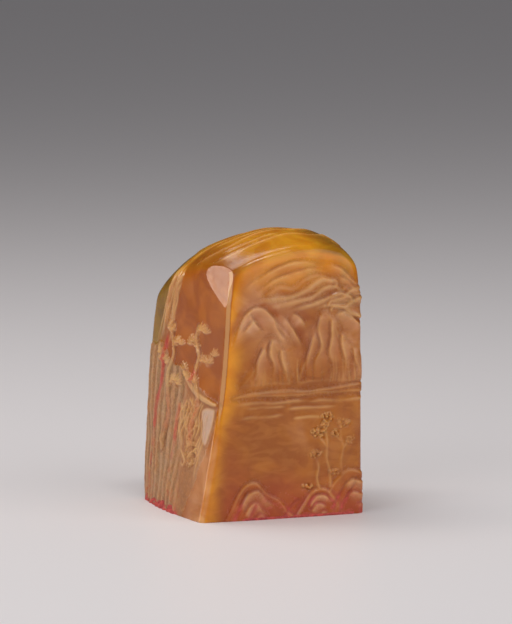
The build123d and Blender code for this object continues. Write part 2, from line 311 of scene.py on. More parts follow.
    def unroll(self):
        """How far round the wall each point lies, in mm from the middle of the front."""
        ring = self.points[:self.wall_count].reshape(self.rows + 1, self.columns, 3)[:, :, :2]
        gap = np.linalg.norm(np.roll(ring, -1, axis=1) - ring, axis=2)
        run = np.concatenate([np.zeros((len(gap), 1)), np.cumsum(gap, axis=1)[:, :-1]], axis=1)
        around = np.zeros(ring.shape[:2])
        behind = np.arange(self.columns) > self.nx * 1.5 + self.ny
        for row in range(len(run)):
            front_x = ring[row, :self.nx + 1, 0]
            zero = np.interp(0.0, front_x, run[row, :self.nx + 1])
            around[row] = run[row] - zero
            around[row, behind] -= gap[row].sum()
        self.around = np.concatenate([around.reshape(-1), self.points[self.wall_count:, 0]])


grid = Grid(grid_step)

# Fields over the grid's points: the height of the carving in mm, and shares from 0 to 1 for the finish. The
# crest share is a painted highlight and the hollow share a painted shade; amber, pink, rust and pale also
# carry painted glow, highlight and shade in places

relief = np.zeros(len(grid.points))
shares = {name: np.zeros(len(grid.points)) for name in (
    "skin", "column", "vein", "paste", "amber", "brown", "foot", "rust", "pink", "olive", "pale", "lilac",
    "crest", "shaded_hollow",
)}
everywhere = slice(None)


class Board:
    """One side of the stone as a drawing board: the points that face that way, placed across and up it."""

    def __init__(self, across, up, scale, weight, seed):
        self.index = np.nonzero(weight > 0.001)[0]
        self.scale = scale
        points = grid.points[self.index]
        # A hand draws with a little sway and an uneven pressure
        sway = [noise(points, 7.0, seed + turn) * 0.42 + noise(points, 2.4, seed + 5 + turn) * 0.12
                for turn in (0, 1)]
        self.place = np.stack([across[self.index], up[self.index]], axis=1) + np.stack(sway, axis=1)
        self.weight = weight[self.index]
        self.press = np.clip(0.85 + 0.55 * noise(points, 5.0, seed + 9), 0.25, 1.3)

    def at(self, points):
        """Places in mm from places in shares of the board's scale."""
        return np.asarray(points, float) * self.scale

    def line(self, points, closed=False):
        return curve(self.at(points), closed)

    def near(self, line, reach):
        """Which points lie within reach of a line, how far to the line's left, and how far along it."""
        low, high = line.min(axis=0) - reach, line.max(axis=0) + reach
        chosen = np.nonzero(((self.place >= low) & (self.place <= high)).all(axis=1))[0]
        away, along = distance_to_line(self.place[chosen], line)
        close = np.abs(away) < reach
        return chosen[close], away[close], along[close]

    def add(self, chosen, amount):
        relief[self.index[chosen]] += amount * self.weight[chosen] * self.press[chosen]

    def share(self, name, chosen, amount):
        index = self.index[chosen]
        amount = amount * self.weight[chosen]
        # crest and hollow are the painted highlight and painted shade of the carving, so they follow the
        # pressure as well
        if name in ("crest", "shaded_hollow"):
            amount = amount * self.press[chosen]
        shares[name][index] = np.maximum(shares[name][index], amount)


def distance_to_line(places, line):
    """Signed distance to a run of points, positive on its left, and the share of the way along it."""
    best = np.full(len(places), 1e9)
    sign = np.ones(len(places))
    along = np.zeros(len(places))
    steps = np.diff(line, axis=0)
    lengths = np.linalg.norm(steps, axis=1)
    reached = np.concatenate([[0.0], np.cumsum(lengths)])
    for start, step, length, before in zip(line[:-1], steps, lengths, reached):
        if length < 1e-9:
            continue
        offset = places - start
        share = np.clip(offset @ step / length ** 2, 0.0, 1.0)
        gap = offset - share[:, None] * step
        distance = np.einsum("ij,ij->i", gap, gap)
        closer = distance < best
        best[closer] = distance[closer]
        side = step[0] * offset[:, 1] - step[1] * offset[:, 0]
        sign[closer] = np.where(side[closer] >= 0, 1.0, -1.0)
        along[closer] = (before + share[closer] * length) / reached[-1]
    return np.sqrt(best) * sign, along


def curve(points, closed=False, step=0.35):
    """A smooth run of places through a few points."""
    points = np.asarray(points, float)
    if closed:
        padded = np.concatenate([points[-1:], points, points[:2]])
    else:
        padded = np.concatenate([2 * points[:1] - points[1:2], points, 2 * points[-1:] - points[-2:-1]])
    run = []
    for a, b, c, d in zip(padded, padded[1:], padded[2:], padded[3:]):
        count = max(2, int(np.linalg.norm(c - b) / step))
        t = np.arange(count)[:, None] / count
        run.append(0.5 * (2 * b + (c - a) * t + (2 * a - 5 * b + 4 * c - d) * t ** 2
                          + (3 * b - a - 3 * c + d) * t ** 3))
    run.append(padded[-2:-1] if not closed else padded[1:2])
    return np.concatenate(run)


# The profile of a carved edge, in mm from its line, positive on the raised side: the groove, the painted
# highlight (lit) and the painted shade

groove_place, groove_width = -0.28, 0.35
lit_place, lit_fade = 0.35, 0.45
shade_place, shade_width = -0.3, 0.4


def taper(along, start=0.15, end=0.15):
    """1 along a line, easing to 0 over these shares of it at its two ends."""
    return smooth(along, 0.0, start) * smooth(1.0 - along, 0.0, end)


def fold(board, line, crest=0.3, groove=0.12, soft=1.5, side=1, start=0.15, end=0.15, glow=0.0):
    """A carved edge: a crest on one side of a line and a groove on the other."""
    chosen, away, along = board.near(line, soft * 4)
    away = away * side
    strength = taper(along, start, end)
    high = crest * np.exp(-np.maximum(away, 0) / soft) * smooth(away, -0.15, 0.4)
    low = groove * bell(away - groove_place, groove_width)
    board.add(chosen, (high - low) * strength)
    # A painted highlight along the raised side of the edge, and a painted shade in the groove
    lit = np.exp(-np.abs(away - lit_place) / lit_fade) * smooth(away, -0.1, 0.3)
    board.share("crest", chosen, lit * strength)
    board.share("shaded_hollow", chosen, bell(away - shade_place, shade_width) * strength * 0.8)
    # With glow, the pink share paints a highlight over the raised side and the rust share paints shade
    # below the groove
    if glow:
        warm = np.exp(-np.abs(away - 0.6) / soft) * smooth(away, -0.4, 0.5)
        board.share("pink", chosen, warm * strength * glow)
        board.share("rust", chosen, bell(away + 1.1, 1.0) * strength * glow)


def ridge(board, line, rise=0.25, width=0.5, start=0.2, end=0.2, drawn=0.8):
    """A raised rounded line; a negative rise cuts a groove."""
    chosen, away, along = board.near(line, width * 2)
    strength = taper(along, start, end)
    profile = bell(away, width * 0.6)
    board.add(chosen, rise * profile * strength)
    # drawn sets how strongly the crest share paints a highlight along a raised line, or the hollow share
    # paints shade along a groove
    board.share("crest" if rise > 0 else "shaded_hollow", chosen, profile * strength * drawn)


def bright_line(board, line, rise, width, start=0.1, end=0.3, pale=0.9):
    """A raised line polished pale, such as a root, a needle or the rim of a cloud."""
    ridge(board, line, rise, width, start, end, drawn=0.6)
    chosen, away, along = board.near(line, width * 2)
    board.share("pale", chosen, bell(away, width * 0.7) * taper(along, start, end) * pale)


def inside(places, outline):
    """Distance to a closed outline, positive inside it."""
    away, _ = distance_to_line(places, outline)
    crossings = np.zeros(len(places), int)
    for start, end in zip(outline[:-1], outline[1:]):
        spans = (start[1] > places[:, 1]) != (end[1] > places[:, 1])
        rise = end[1] - start[1]
        if abs(rise) < 1e-12:
            continue
        crossing_x = start[0] + (places[:, 1] - start[1]) / rise * (end[0] - start[0])
        crossings += spans & (places[:, 0] < crossing_x)
    return np.abs(away) * np.where(crossings % 2 == 1, 1.0, -1.0)


def mass(board, outline, level, dome=0.15, edge=0.35, spread=3.0, drawn=0.6):
    """A body of stone left standing: it covers what is behind it, with a bevelled edge and a domed top."""
    low, high = outline.min(axis=0) - 1.0, outline.max(axis=0) + 1.0
    chosen = np.nonzero(((board.place >= low) & (board.place <= high)).all(axis=1))[0]
    depth = inside(board.place[chosen], outline)
    cover = smooth(depth, -0.1, edge) * board.weight[chosen]
    shape = level + dome * (1.0 - np.exp(-np.maximum(depth, 0) / spread))
    index = board.index[chosen]
    relief[index] += (shape - relief[index]) * cover
    # A painted highlight along the bevelled edge and a painted shade just outside it, as strong as drawn
    board.share("crest", chosen, bell(depth - edge, 0.3) * drawn)
    board.share("shaded_hollow", chosen, bell(depth - shade_place, shade_width) * drawn)
    return chosen, depth


def dots(board, centres, radius, rise):
    """Small raised domes, as leaves and foliage are drawn."""
    for centre, size in centres:
        gap = board.place - centre
        chosen = np.nonzero((np.abs(gap) < 2 * radius * size).all(axis=1))[0]
        distance = np.linalg.norm(gap[chosen], axis=1) / (radius * size)
        dome = np.exp(-distance ** 2 * 2.0)
        ditch = 0.45 * bell(distance - 1.15, 0.25)
        board.add(chosen, rise * (dome - ditch))
        # A painted highlight on each dome
        board.share("crest", chosen, dome)


def scatter(rng, centre, reach, count, low=0.7, high=1.3):
    """Places for dots in an oval clump."""
    angle = rng.uniform(0, 2 * pi, count)
    radius = np.sqrt(rng.uniform(0, 1, count))
    places = np.stack([centre[0] + np.cos(angle) * radius * reach[0],
                       centre[1] + np.sin(angle) * radius * reach[1]], axis=1)
    return list(zip(places, rng.uniform(low, high, count)))


def scroll(points, radius, turns, side):
    """A line that ends in a curl."""
    line = curve(points)
    heading = line[-1] - line[-2]
    heading = heading / np.linalg.norm(heading)
    to_centre = np.array([-heading[1], heading[0]]) * side
    centre = line[-1] + to_centre * radius
    steps_a_turn, last_share = 28, 0.22
    angles = np.linspace(0, turns * 2 * pi, int(turns * steps_a_turn))
    start = atan2(-to_centre[1], -to_centre[0])
    shrink = np.linspace(1.0, last_share, len(angles))
    curl = np.stack([centre[0] + np.cos(start + side * angles) * radius * shrink,
                     centre[1] + np.sin(start + side * angles) * radius * shrink], axis=1)
    return np.concatenate([line, curl[1:]])


def shifted(line, distance):
    """A copy of a line moved to its left."""
    step = np.gradient(line, axis=0)
    step = step / (np.linalg.norm(step, axis=1)[:, None] + 1e-9)
    return line + np.stack([-step[:, 1], step[:, 0]], axis=1) * distance


def nested(line, anchor, scale):
    """A copy of a line drawn in towards an anchor."""
    return anchor + (line - anchor) * scale


# The boards

x, y, z = grid.points.T
facing = grid.normals
on_wall = np.arange(len(x)) < grid.wall_count
on_foot = np.arange(len(x)) >= grid.wall_count + grid.top_count
front_reach = (smooth(grid.around, half_width + 8.0, half_width + 4.0)
               * smooth(grid.around, -half_width - 6.0, -half_width))
front_facing = smooth(-facing[:, 1] + np.maximum(facing[:, 0], 0), 0.1, 0.5)
front_side = np.where(on_wall, front_reach * front_facing, 0.0)
left_side = np.where(on_foot, 0.0, smooth(-facing[:, 0], 0.12, 0.5))
back_side = np.where(on_wall, smooth(facing[:, 1], 0.1, 0.5), 0.0)
right_side = np.where(on_wall, smooth(facing[:, 0], 0.1, 0.5), 0.0)
crown_side = np.where(on_foot, 0.0, smooth(facing[:, 2], 0.15, 0.5))
front = Board(grid.around, z, (half_width, height), front_side, 200)
left = Board(-y, z, (half_depth, height), left_side, 220)
back = Board(-x, z, (half_width, height), back_side, 240)
right = Board(y, z, (half_depth, height), right_side, 260)
crown = Board(x, y, (half_width, half_depth), crown_side, 280)

# Front: rocks at the foot, a grove on them, sand bars across calm water, peaks beyond and cloud above


def carve_shore():
    bar = [(-0.58, 0.432), (-0.35, 0.452), (0.0, 0.458), (0.35, 0.45), (0.7, 0.462), (1.3, 0.47),
           (1.3, 0.425), (0.65, 0.436), (0.2, 0.428), (-0.2, 0.434)]
    mass(front, front.line(bar, closed=True), 0.16, dome=0.12, edge=0.4, spread=0.8)
    for points, rise in (
        ([(-0.6, 0.408), (-0.38, 0.413), (-0.1, 0.41), (0.16, 0.414), (0.34, 0.411)], 0.16),
        ([(0.02, 0.385), (0.24, 0.389), (0.48, 0.386), (0.7, 0.391)], 0.13),
        ([(-0.52, 0.362), (-0.34, 0.366), (-0.12, 0.363), (0.02, 0.366)], 0.11),
        ([(0.3, 0.408), (0.55, 0.412), (0.85, 0.408), (1.15, 0.414)], 0.1),
        ([(-0.45, 0.396), (-0.2, 0.398), (0.05, 0.395)], 0.08),
        ([(0.1, 0.352), (0.32, 0.355), (0.52, 0.351)], 0.05),
    ):
        ridge(front, front.line(points), rise, 0.55)
    for points in (
        [(-0.45, 0.447), (-0.15, 0.452), (0.2, 0.446), (0.55, 0.45)],
        [(0.25, 0.438), (0.6, 0.444), (1.0, 0.452)],
    ):
        ridge(front, front.line(points), -0.1, 0.4)


def carve_peaks():
    for outline, level in (
        ([(-0.52, 0.47), (-0.36, 0.545), (-0.24, 0.625), (-0.1, 0.648), (0.02, 0.59), (0.1, 0.515),
          (0.14, 0.465), (-0.2, 0.465)], 0.08),
        ([(0.18, 0.468), (0.26, 0.56), (0.36, 0.67), (0.5, 0.735), (0.66, 0.7), (0.8, 0.62),
          (1.02, 0.575), (1.3, 0.56), (1.3, 0.47), (0.6, 0.468)], 0.1),
    ):
        mass(front, front.line(outline, closed=True), level, dome=0.16, edge=1.1, spread=2.5, drawn=0.35)
    for points, crest, soft in (
        ([(-0.12, 0.64), (-0.16, 0.585), (-0.1, 0.54), (-0.13, 0.49)], 0.3, 2.4),
        ([(-0.22, 0.61), (-0.3, 0.56), (-0.32, 0.51), (-0.4, 0.478)], 0.24, 1.9),
        ([(-0.02, 0.6), (0.0, 0.55), (0.05, 0.505), (0.04, 0.475)], 0.22, 1.6),
        ([(0.48, 0.728), (0.42, 0.67), (0.46, 0.61), (0.4, 0.55), (0.42, 0.49)], 0.34, 2.6),
        ([(0.58, 0.705), (0.6, 0.65), (0.56, 0.59), (0.6, 0.54), (0.57, 0.49)], 0.3, 2.2),
        ([(0.36, 0.655), (0.33, 0.6), (0.3, 0.55), (0.3, 0.5)], 0.22, 1.6),
        ([(0.72, 0.655), (0.72, 0.6), (0.76, 0.55), (0.74, 0.495)], 0.28, 2.2),
        ([(0.86, 0.6), (0.88, 0.56), (0.93, 0.52), (0.92, 0.485)], 0.22, 1.8),
    ):
        fold(front, front.line(points), crest, 0.16, soft, side=1, start=0.1, end=0.6, glow=0.5)
    strokes, foot = 46, 0.472
    rng = np.random.default_rng(11)
    for _ in range(strokes):
        start = rng.uniform(-0.42, 1.05)
        top = 0.53 + 0.09 * rng.uniform() if start > 0.15 else 0.5 + 0.07 * rng.uniform()
        sway = rng.uniform(-0.03, 0.03)
        line = front.line([(start, top), (start + sway, (top + 0.47) / 2), (start + sway * 0.5, foot)])
        rise = rng.choice((-1, 1)) * (0.05 + 0.05 * rng.uniform())
        ridge(front, line, rise, 0.42, 0.6, 0.1, drawn=0.55)


def carve_far_range():
    for points, crest, soft in (
        ([(-0.62, 0.6), (-0.52, 0.68), (-0.38, 0.742), (-0.22, 0.748), (-0.06, 0.7), (0.1, 0.64),
          (0.2, 0.585)], 0.3, 3.08),
        ([(-0.4, 0.738), (-0.3, 0.69), (-0.22, 0.655)], 0.18, 2.24),
        ([(-0.1, 0.712), (-0.02, 0.66), (0.08, 0.62)], 0.15, 1.68),
        ([(0.62, 0.705), (0.78, 0.722), (0.92, 0.69), (1.05, 0.64)], 0.24, 2.52),
        ([(-0.48, 0.655), (-0.36, 0.7), (-0.24, 0.704)], 0.18, 2.24),
        ([(-0.02, 0.73), (0.08, 0.7), (0.18, 0.65), (0.26, 0.6)], 0.24, 2.8),
        ([(0.1, 0.735), (0.22, 0.712), (0.3, 0.672)], 0.15, 1.96),
    ):
        fold(front, front.line(points), crest, 0.16, soft, side=-1, start=0.25, end=0.45, glow=0.9)


def carve_clouds():
    outlines = (
        [(-0.2, 0.795), (-0.05, 0.825), (0.12, 0.82), (0.26, 0.845), (0.44, 0.862), (0.58, 0.845),
         (0.62, 0.815), (0.5, 0.795), (0.3, 0.79), (0.12, 0.782), (-0.06, 0.78)],
        [(0.58, 0.77), (0.68, 0.8), (0.8, 0.812), (0.92, 0.795), (1.25, 0.79), (1.25, 0.735),
         (0.9, 0.745), (0.76, 0.752)],
    )
    for outline in outlines:
        mass(front, front.line(outline, closed=True), 0.12, dome=0.14, edge=0.7, spread=1.4)
    flows = (
        ([(-0.4, 0.77), (-0.14, 0.786), (0.1, 0.79), (0.3, 0.815), (0.48, 0.846), (0.64, 0.84)],
         1.9, 0.45, -1),
        ([(-0.2, 0.76), (0.1, 0.772), (0.34, 0.785), (0.52, 0.815), (0.66, 0.818)], 1.6, 0.5, -1),
        ([(0.02, 0.742), (0.28, 0.756), (0.5, 0.772), (0.7, 0.79), (0.84, 0.78)], 1.5, 0.55, -1),
        ([(1.15, 0.8), (1.0, 0.812), (0.84, 0.8), (0.72, 0.772), (0.6, 0.768)], 1.5, 0.5, 1),
        ([(1.15, 0.765), (0.98, 0.775), (0.86, 0.76), (0.76, 0.742), (0.64, 0.745)], 1.3, 0.55, 1),
        ([(0.36, 0.728), (0.54, 0.738), (0.72, 0.73), (0.9, 0.7), (1.1, 0.69)], 1.3, 0.2, 1),
    )
    for points, radius, turns, side in flows:
        line = scroll(front.at(points), radius, turns, side)
        fold(front, line, 0.3, 0.18, 0.9, side=side, start=0.35, end=0.1, glow=0.4)
        bright_line(front, shifted(line, 0.6 * side), 0.13, 0.7, 0.35, 0.1, 0.6)
    for points, crest, soft in (
        ([(-0.5, 0.8), (-0.3, 0.85), (-0.05, 0.885), (0.25, 0.905), (0.55, 0.89)], 0.1, 2.2),
        ([(-0.38, 0.79), (-0.15, 0.835), (0.1, 0.862), (0.34, 0.88), (0.62, 0.872)], 0.12, 1.6),
        ([(0.55, 0.9), (0.75, 0.87), (0.9, 0.83), (1.05, 0.82)], 0.14, 1.6),
        ([(0.62, 0.85), (0.78, 0.838), (0.94, 0.8), (1.1, 0.78)], 0.14, 1.3),
    ):
        fold(front, front.line(points), crest, 0.06, soft, side=-1, start=0.3, end=0.4, glow=0.3)


def carve_rocks():
    rocks = (
        ([(-0.66, -0.02), (-0.6, 0.06), (-0.46, 0.12), (-0.3, 0.132), (-0.17, 0.09), (-0.02, 0.066),
          (0.08, 0.028), (0.14, -0.02)], (-0.26, -0.03), 0.3),
        ([(0.18, -0.02), (0.24, 0.05), (0.36, 0.1), (0.5, 0.104), (0.62, 0.074), (0.7, 0.03),
          (0.72, -0.02)], (0.45, -0.03), 0.34),
        ([(0.54, 0.085), (0.64, 0.132), (0.8, 0.162), (1.0, 0.15), (1.18, 0.14), (1.34, 0.11),
          (1.34, -0.02), (0.66, -0.02), (0.64, 0.04)], (0.98, -0.02), 0.3),
    )
    for points, anchor, level in reversed(rocks):
        mass(front, front.line(points, closed=True), level, dome=0.12, edge=0.45, spread=1.8)
        top = front.line(points[1:-2])
        for scale, crest, lean in ((0.8, 0.3, 0.05), (0.56, 0.26, -0.03), (0.33, 0.2, 0.06)):
            centre = front.at((anchor[0] + lean, anchor[1]))
            line = nested(top, centre, scale)
            fold(front, line, crest, 0.2, 1.3, side=-1, start=0.12, end=0.25, glow=0.5)
    for points in (
        [(0.22, 0.07), (0.12, 0.045), (0.02, 0.005)],
        [(0.94, 0.145), (0.86, 0.1), (0.74, 0.045), (0.68, 0.0)],
        [(1.12, 0.13), (1.06, 0.08), (0.98, 0.04), (0.94, 0.0)],
        [(0.8, 0.13), (0.7, 0.085), (0.6, 0.03)],
        [(-0.4, 0.11), (-0.48, 0.06), (-0.6, 0.005)],
        [(-0.24, 0.1), (-0.3, 0.06), (-0.38, 0.015)],
    ):
        line = front.line(points)
        ridge(front, line, -0.2, 0.6, 0.15, 0.1)
        chosen, away, along = front.near(line, 2.0)
        front.share("paste", chosen, bell(away, 0.55) * smooth(along, 0.2, 0.7) * 0.9)


def carve_grove():
    rng = np.random.default_rng(5)
    trunks = (
        [(0.56, 0.1), (0.57, 0.16), (0.53, 0.21), (0.55, 0.27), (0.52, 0.335)],
        [(0.72, 0.14), (0.71, 0.19), (0.74, 0.24), (0.72, 0.28), (0.74, 0.315)],
        [(0.44, 0.1), (0.41, 0.14), (0.43, 0.18), (0.4, 0.215)],
    )
    for points in trunks:
        ridge(front, front.line(points), 0.28, 0.6, 0.02, 0.3)
    branches = (
        [(0.55, 0.24), (0.49, 0.27), (0.44, 0.285)], [(0.53, 0.3), (0.58, 0.33), (0.62, 0.345)],
        [(0.73, 0.23), (0.79, 0.25), (0.84, 0.255)], [(0.72, 0.26), (0.67, 0.28), (0.63, 0.285)],
    )
    for points in branches:
        ridge(front, front.line(points), 0.2, 0.42, 0.05, 0.3)
    clumps = (
        ((0.44, 0.3), (1.9, 1.1), 26), ((0.56, 0.352), (1.7, 1.0), 24), ((0.52, 0.325), (1.2, 0.8), 12),
        ((0.76, 0.325), (1.6, 1.0), 22), ((0.83, 0.262), (1.3, 0.8), 16), ((0.66, 0.29), (1.1, 0.7), 12),
        ((0.4, 0.225), (1.4, 0.9), 18), ((0.64, 0.155), (1.5, 0.6), 14), ((0.3, 0.115), (1.2, 0.5), 10),
    )
    for centre, reach, count in clumps:
        dots(front, scatter(rng, front.at(centre), reach, count), 0.42, 0.38)
        for _ in range(count // 3):
            place = front.at(centre) + rng.uniform(-0.8, 0.8, 2) * reach
            turn = rng.choice((-1, 1))
            leaf = scroll([place, place + (0.35 * turn, 0.15)], 0.32, 0.6, turn)
            ridge(front, leaf, 0.16, 0.2, 0.1, 0.2)


# Left: a crust over the lower part with a red vein, pines rising out of it, and a cascade behind


def along_line(points, level):
    """The place across the board of a line at each level, both in mm."""
    points = np.asarray(points, float)
    return np.interp(level, points[:, 1], points[:, 0])


facet_edge = ((-0.46, 0.5), (-0.35, 0.58), (-0.15, 0.76), (0.02, 0.92))


def carve_cascade():
    """Thin strands of falling water down the rear edge of the smooth facet."""
    strands, bends = 34, 6
    rng = np.random.default_rng(3)
    edge = left.at(facet_edge)
    for _ in range(strands):
        offset = rng.uniform(-0.34, 0.03) * half_depth
        top, bottom = rng.uniform(0.8, 0.9) * height, rng.uniform(0.55, 0.7) * height
        levels = np.linspace(top, bottom, bends)
        spread = offset * np.linspace(0.75, 1.0, bends) + rng.uniform(-0.3, 0.3, bends)
        line = curve(np.stack([along_line(edge, levels) + spread, levels], axis=1))
        if rng.uniform() < 0.25:
            ridge(left, line, -0.14, 0.4, 0.2, 0.5)
        else:
            bright_line(left, line, rng.uniform(0.16, 0.34), rng.uniform(0.32, 0.65), 0.15, 0.5, 0.95)


def carve_skin():
    """The crust: a ragged edge, columns that hang down it, and a stippled, lumpy face."""
    across, up = left.place.T
    places = grid.points[left.index]
    edge = along_line(left.at([(0.5, 0.0), (0.66, 0.12), (0.8, 0.22), (0.92, 0.34), (0.93, 0.44)]), up)
    place_shares = (-1.3, -0.75, -0.5, -0.2, 0.2, 0.5, 0.75, 1.0)
    top_shares = (0.59, 0.57, 0.585, 0.53, 0.5, 0.465, 0.425, 0.41)
    top = np.interp(across / half_depth, place_shares, top_shares) * height
    ragged = layered_noise(places, (2.2, 2.2, 2.2), 21)
    cover = smooth(top + ragged * 1.5 - up, -0.2, 0.5) * smooth(edge + ragged * 0.8 - across, -0.3, 0.6)
    near_part = smooth(across + ragged * 1.5, half_depth * 0.08, half_depth * 0.34)
    left.share("skin", everywhere, cover * (1.0 - 0.55 * near_part))
    drift = noise(places, (9, 9, 14), 31) * 1.6 + noise(places, (3, 3, 6), 32) * 0.4
    column_pitch = 2.7
    bands = np.cos(2 * pi * (across + drift) / column_pitch)
    columns = smooth(bands, -0.5, 0.9) * smooth(across, half_depth * 0.42, half_depth * 0.2)
    stipple = noise(places, (0.55, 0.55, 0.5), 41) * 0.6 + noise(places, (0.3, 0.3, 0.32), 42) * 0.5
    lumps = layered_noise(places, (1.6, 1.6, 1.3), 43)
    left.add(everywhere, cover * (0.12 + 0.2 * columns + 0.1 * lumps + 0.035 * stipple))
    left.share("column", everywhere, cover * columns)
    # A painted highlight on the raised columns, stipple and lumps, and a painted shade between the columns
    left.share("crest", everywhere, cover * np.clip(0.15 * columns + 0.45 * stipple + 0.3 * lumps, 0, 1))
    left.share("shaded_hollow", everywhere, cover * np.clip(0.12 * (1 - columns) - 0.2 * stipple, 0, 1))


def carve_ledge():
    """A pale smooth lobe of the skin's upper edge, down to the near corner, and a bare patch below it."""
    lobe = [(0.02, 0.52), (0.18, 0.505), (0.36, 0.47), (0.58, 0.44), (0.8, 0.425), (0.92, 0.418),
            (0.9, 0.402), (0.7, 0.405), (0.46, 0.425), (0.22, 0.465)]
    chosen, depth = mass(left, left.line(lobe, closed=True), 0.24, dome=0.1, edge=0.5, spread=0.8)
    left.share("pale", chosen, smooth(depth, 0.0, 0.6))
    patch = [(0.62, 0.385), (0.86, 0.4), (0.9, 0.37), (0.86, 0.31), (0.8, 0.262), (0.7, 0.275),
             (0.66, 0.33)]
    chosen, depth = mass(left, left.line(patch, closed=True), 0.12, dome=0.08, edge=0.6, spread=1.0)
    for name in ("pale", "lilac"):
        left.share(name, chosen, smooth(depth, 0.0, 0.8))


def carve_roots():
    """Pale roots that zigzag down the crust, curls beside them, and clumps of leaves."""
    rng = np.random.default_rng(8)
    for start in np.linspace(0.08, 0.78, 17):
        points = [(start, 0.44 - 0.1 * abs(start - 0.4) - 0.03 * rng.uniform())]
        sway = rng.choice((-1, 1))
        for _ in range(rng.integers(4, 7)):
            across, up = points[-1]
            sway = -sway
            points.append((across - 0.02 + sway * rng.uniform(0.01, 0.05), up - rng.uniform(0.03, 0.055)))
        rise, width = 0.2 + 0.14 * rng.uniform(), rng.uniform(0.38, 0.6)
        bright_line(left, left.line(points), rise, width, 0.1, 0.4, 0.75)
    for points, radius, side in (
        ([(0.3, 0.42), (0.42, 0.4), (0.52, 0.37)], 1.2, -1),
        ([(0.6, 0.33), (0.5, 0.31), (0.42, 0.28)], 1.3, 1),
        ([(0.28, 0.33), (0.36, 0.3), (0.46, 0.27)], 1.1, -1),
        ([(0.66, 0.25), (0.56, 0.235), (0.48, 0.21)], 1.2, 1),
        ([(0.2, 0.24), (0.28, 0.22), (0.36, 0.2)], 1.0, -1),
    ):
        bright_line(left, scroll(left.at(points), radius, 0.8, side), 0.3, 0.5, 0.1, 0.1, 0.8)
    dots(left, scatter(rng, left.at((0.5, 0.225)), (3.8, 3.4), 70, 0.6, 1.2), 0.42, 0.24)
    dots(left, scatter(rng, left.at((0.36, 0.37)), (4.4, 2.6), 50, 0.6, 1.2), 0.4, 0.2)


def carve_pine(trunk, branches, seed):
    """A gnarled trunk with bark, and limbs with fans of needles."""
    tufts, needles = 4, 7
    rng = np.random.default_rng(seed)
    line = left.line(trunk)
    chosen, away, along = left.near(line, 2.0)
    places = grid.points[left.index[chosen]]
    girth = (1.0 - 0.62 * along) * (1.0 + 0.3 * noise(places, (1.6, 1.6, 1.6), seed + 3))
    bark = noise(places, (0.5, 0.5, 0.7), seed) * 0.16
    profile = smooth(girth + 0.25 - np.abs(away), 0.0, 0.45)
    left.add(chosen, (0.42 + bark) * profile * taper(along, 0.05, 0.05))
    left.share("pale", chosen, profile * smooth(along, 0.1, 0.6) * 0.8)
    left.share("vein", chosen, profile * smooth(along, 0.55, 0.35) * smooth(along, 0.05, 0.2) * 0.35)
    # A painted highlight over the bark, and a painted shade just outside the trunk
    left.share("crest", chosen, profile * np.clip(0.3 + bark * 3, 0, 1))
    left.share("shaded_hollow", chosen, bell(np.abs(away) - girth - 0.35, 0.25))
    for points in branches:
        limb = left.line(points)
        ridge(left, limb, 0.26, 0.5, 0.02, 0.1)
        for share in np.linspace(0.3, 1.0, tufts):
            place = limb[min(int(share * len(limb)), len(limb) - 1)]
            for angle in np.linspace(0.08 * pi, 0.92 * pi, needles):
                tip = place + np.array([cos(angle), sin(angle)]) * (1.5 + 0.8 * rng.uniform())
                needle = curve([place, (place + tip) / 2 + 0.06, tip])
                bright_line(left, needle, 0.26, 0.3, 0.05, 0.2, 0.8)


def carve_pines():
    near = [(0.54, 0.2), (0.44, 0.3), (0.52, 0.4), (0.38, 0.5), (0.44, 0.57), (0.36, 0.63), (0.4, 0.67)]
    near_branches = (
        [(0.47, 0.44), (0.36, 0.48), (0.24, 0.475), (0.12, 0.51)],
        [(0.4, 0.52), (0.54, 0.56), (0.64, 0.545), (0.76, 0.58)],
        [(0.42, 0.58), (0.3, 0.615), (0.22, 0.6)],
        [(0.38, 0.64), (0.48, 0.66), (0.56, 0.65)],
    )
    far = [(-0.3, 0.22), (-0.18, 0.34), (-0.28, 0.46), (-0.15, 0.56), (-0.22, 0.62), (-0.18, 0.66)]
    far_branches = (
        [(-0.24, 0.49), (-0.36, 0.53), (-0.44, 0.52), (-0.52, 0.55)],
        [(-0.24, 0.43), (-0.1, 0.465), (0.02, 0.45)],
        [(-0.18, 0.57), (-0.08, 0.6), (0.02, 0.595)],
        [(-0.2, 0.63), (-0.3, 0.645)],
    )
    carve_pine(near, near_branches, 61)
    carve_pine(far, far_branches, 62)


def carve_vein():
    main = [(-0.36, 0.64), (-0.38, 0.6), (-0.44, 0.48), (-0.54, 0.36), (-0.6, 0.22), (-0.68, 0.1),
            (-0.73, 0.03)]
    side = [(0.1, 0.4), (0.06, 0.3), (0.02, 0.2), (-0.02, 0.12)]
    fork = [(0.38, 0.52), (0.3, 0.48), (0.26, 0.44)]
    for points, width, strength in ((main, 0.85, 1.3), (side, 0.8, 1.0), (fork, 0.75, 0.8)):
        chosen, away, along = left.near(left.line(points), 3.0)
        ragged = noise(grid.points[left.index[chosen]], (0.9, 0.9, 1.6), 77)
        profile = bell(away, width * (1.0 + 0.5 * ragged))
        left.add(chosen, 0.1 * profile * taper(along, 0.1, 0.1))
        spots = smooth(ragged, -0.3, 0.3)
        fade = strength * (smooth(along, 0.75, 0.45) * 0.6 + 0.4 * spots)
        left.share("vein", chosen, profile * fade * taper(along, 0.08, 0.1))


# Crown: long swelling ridges with grooves between them, from the left shoulder over the top


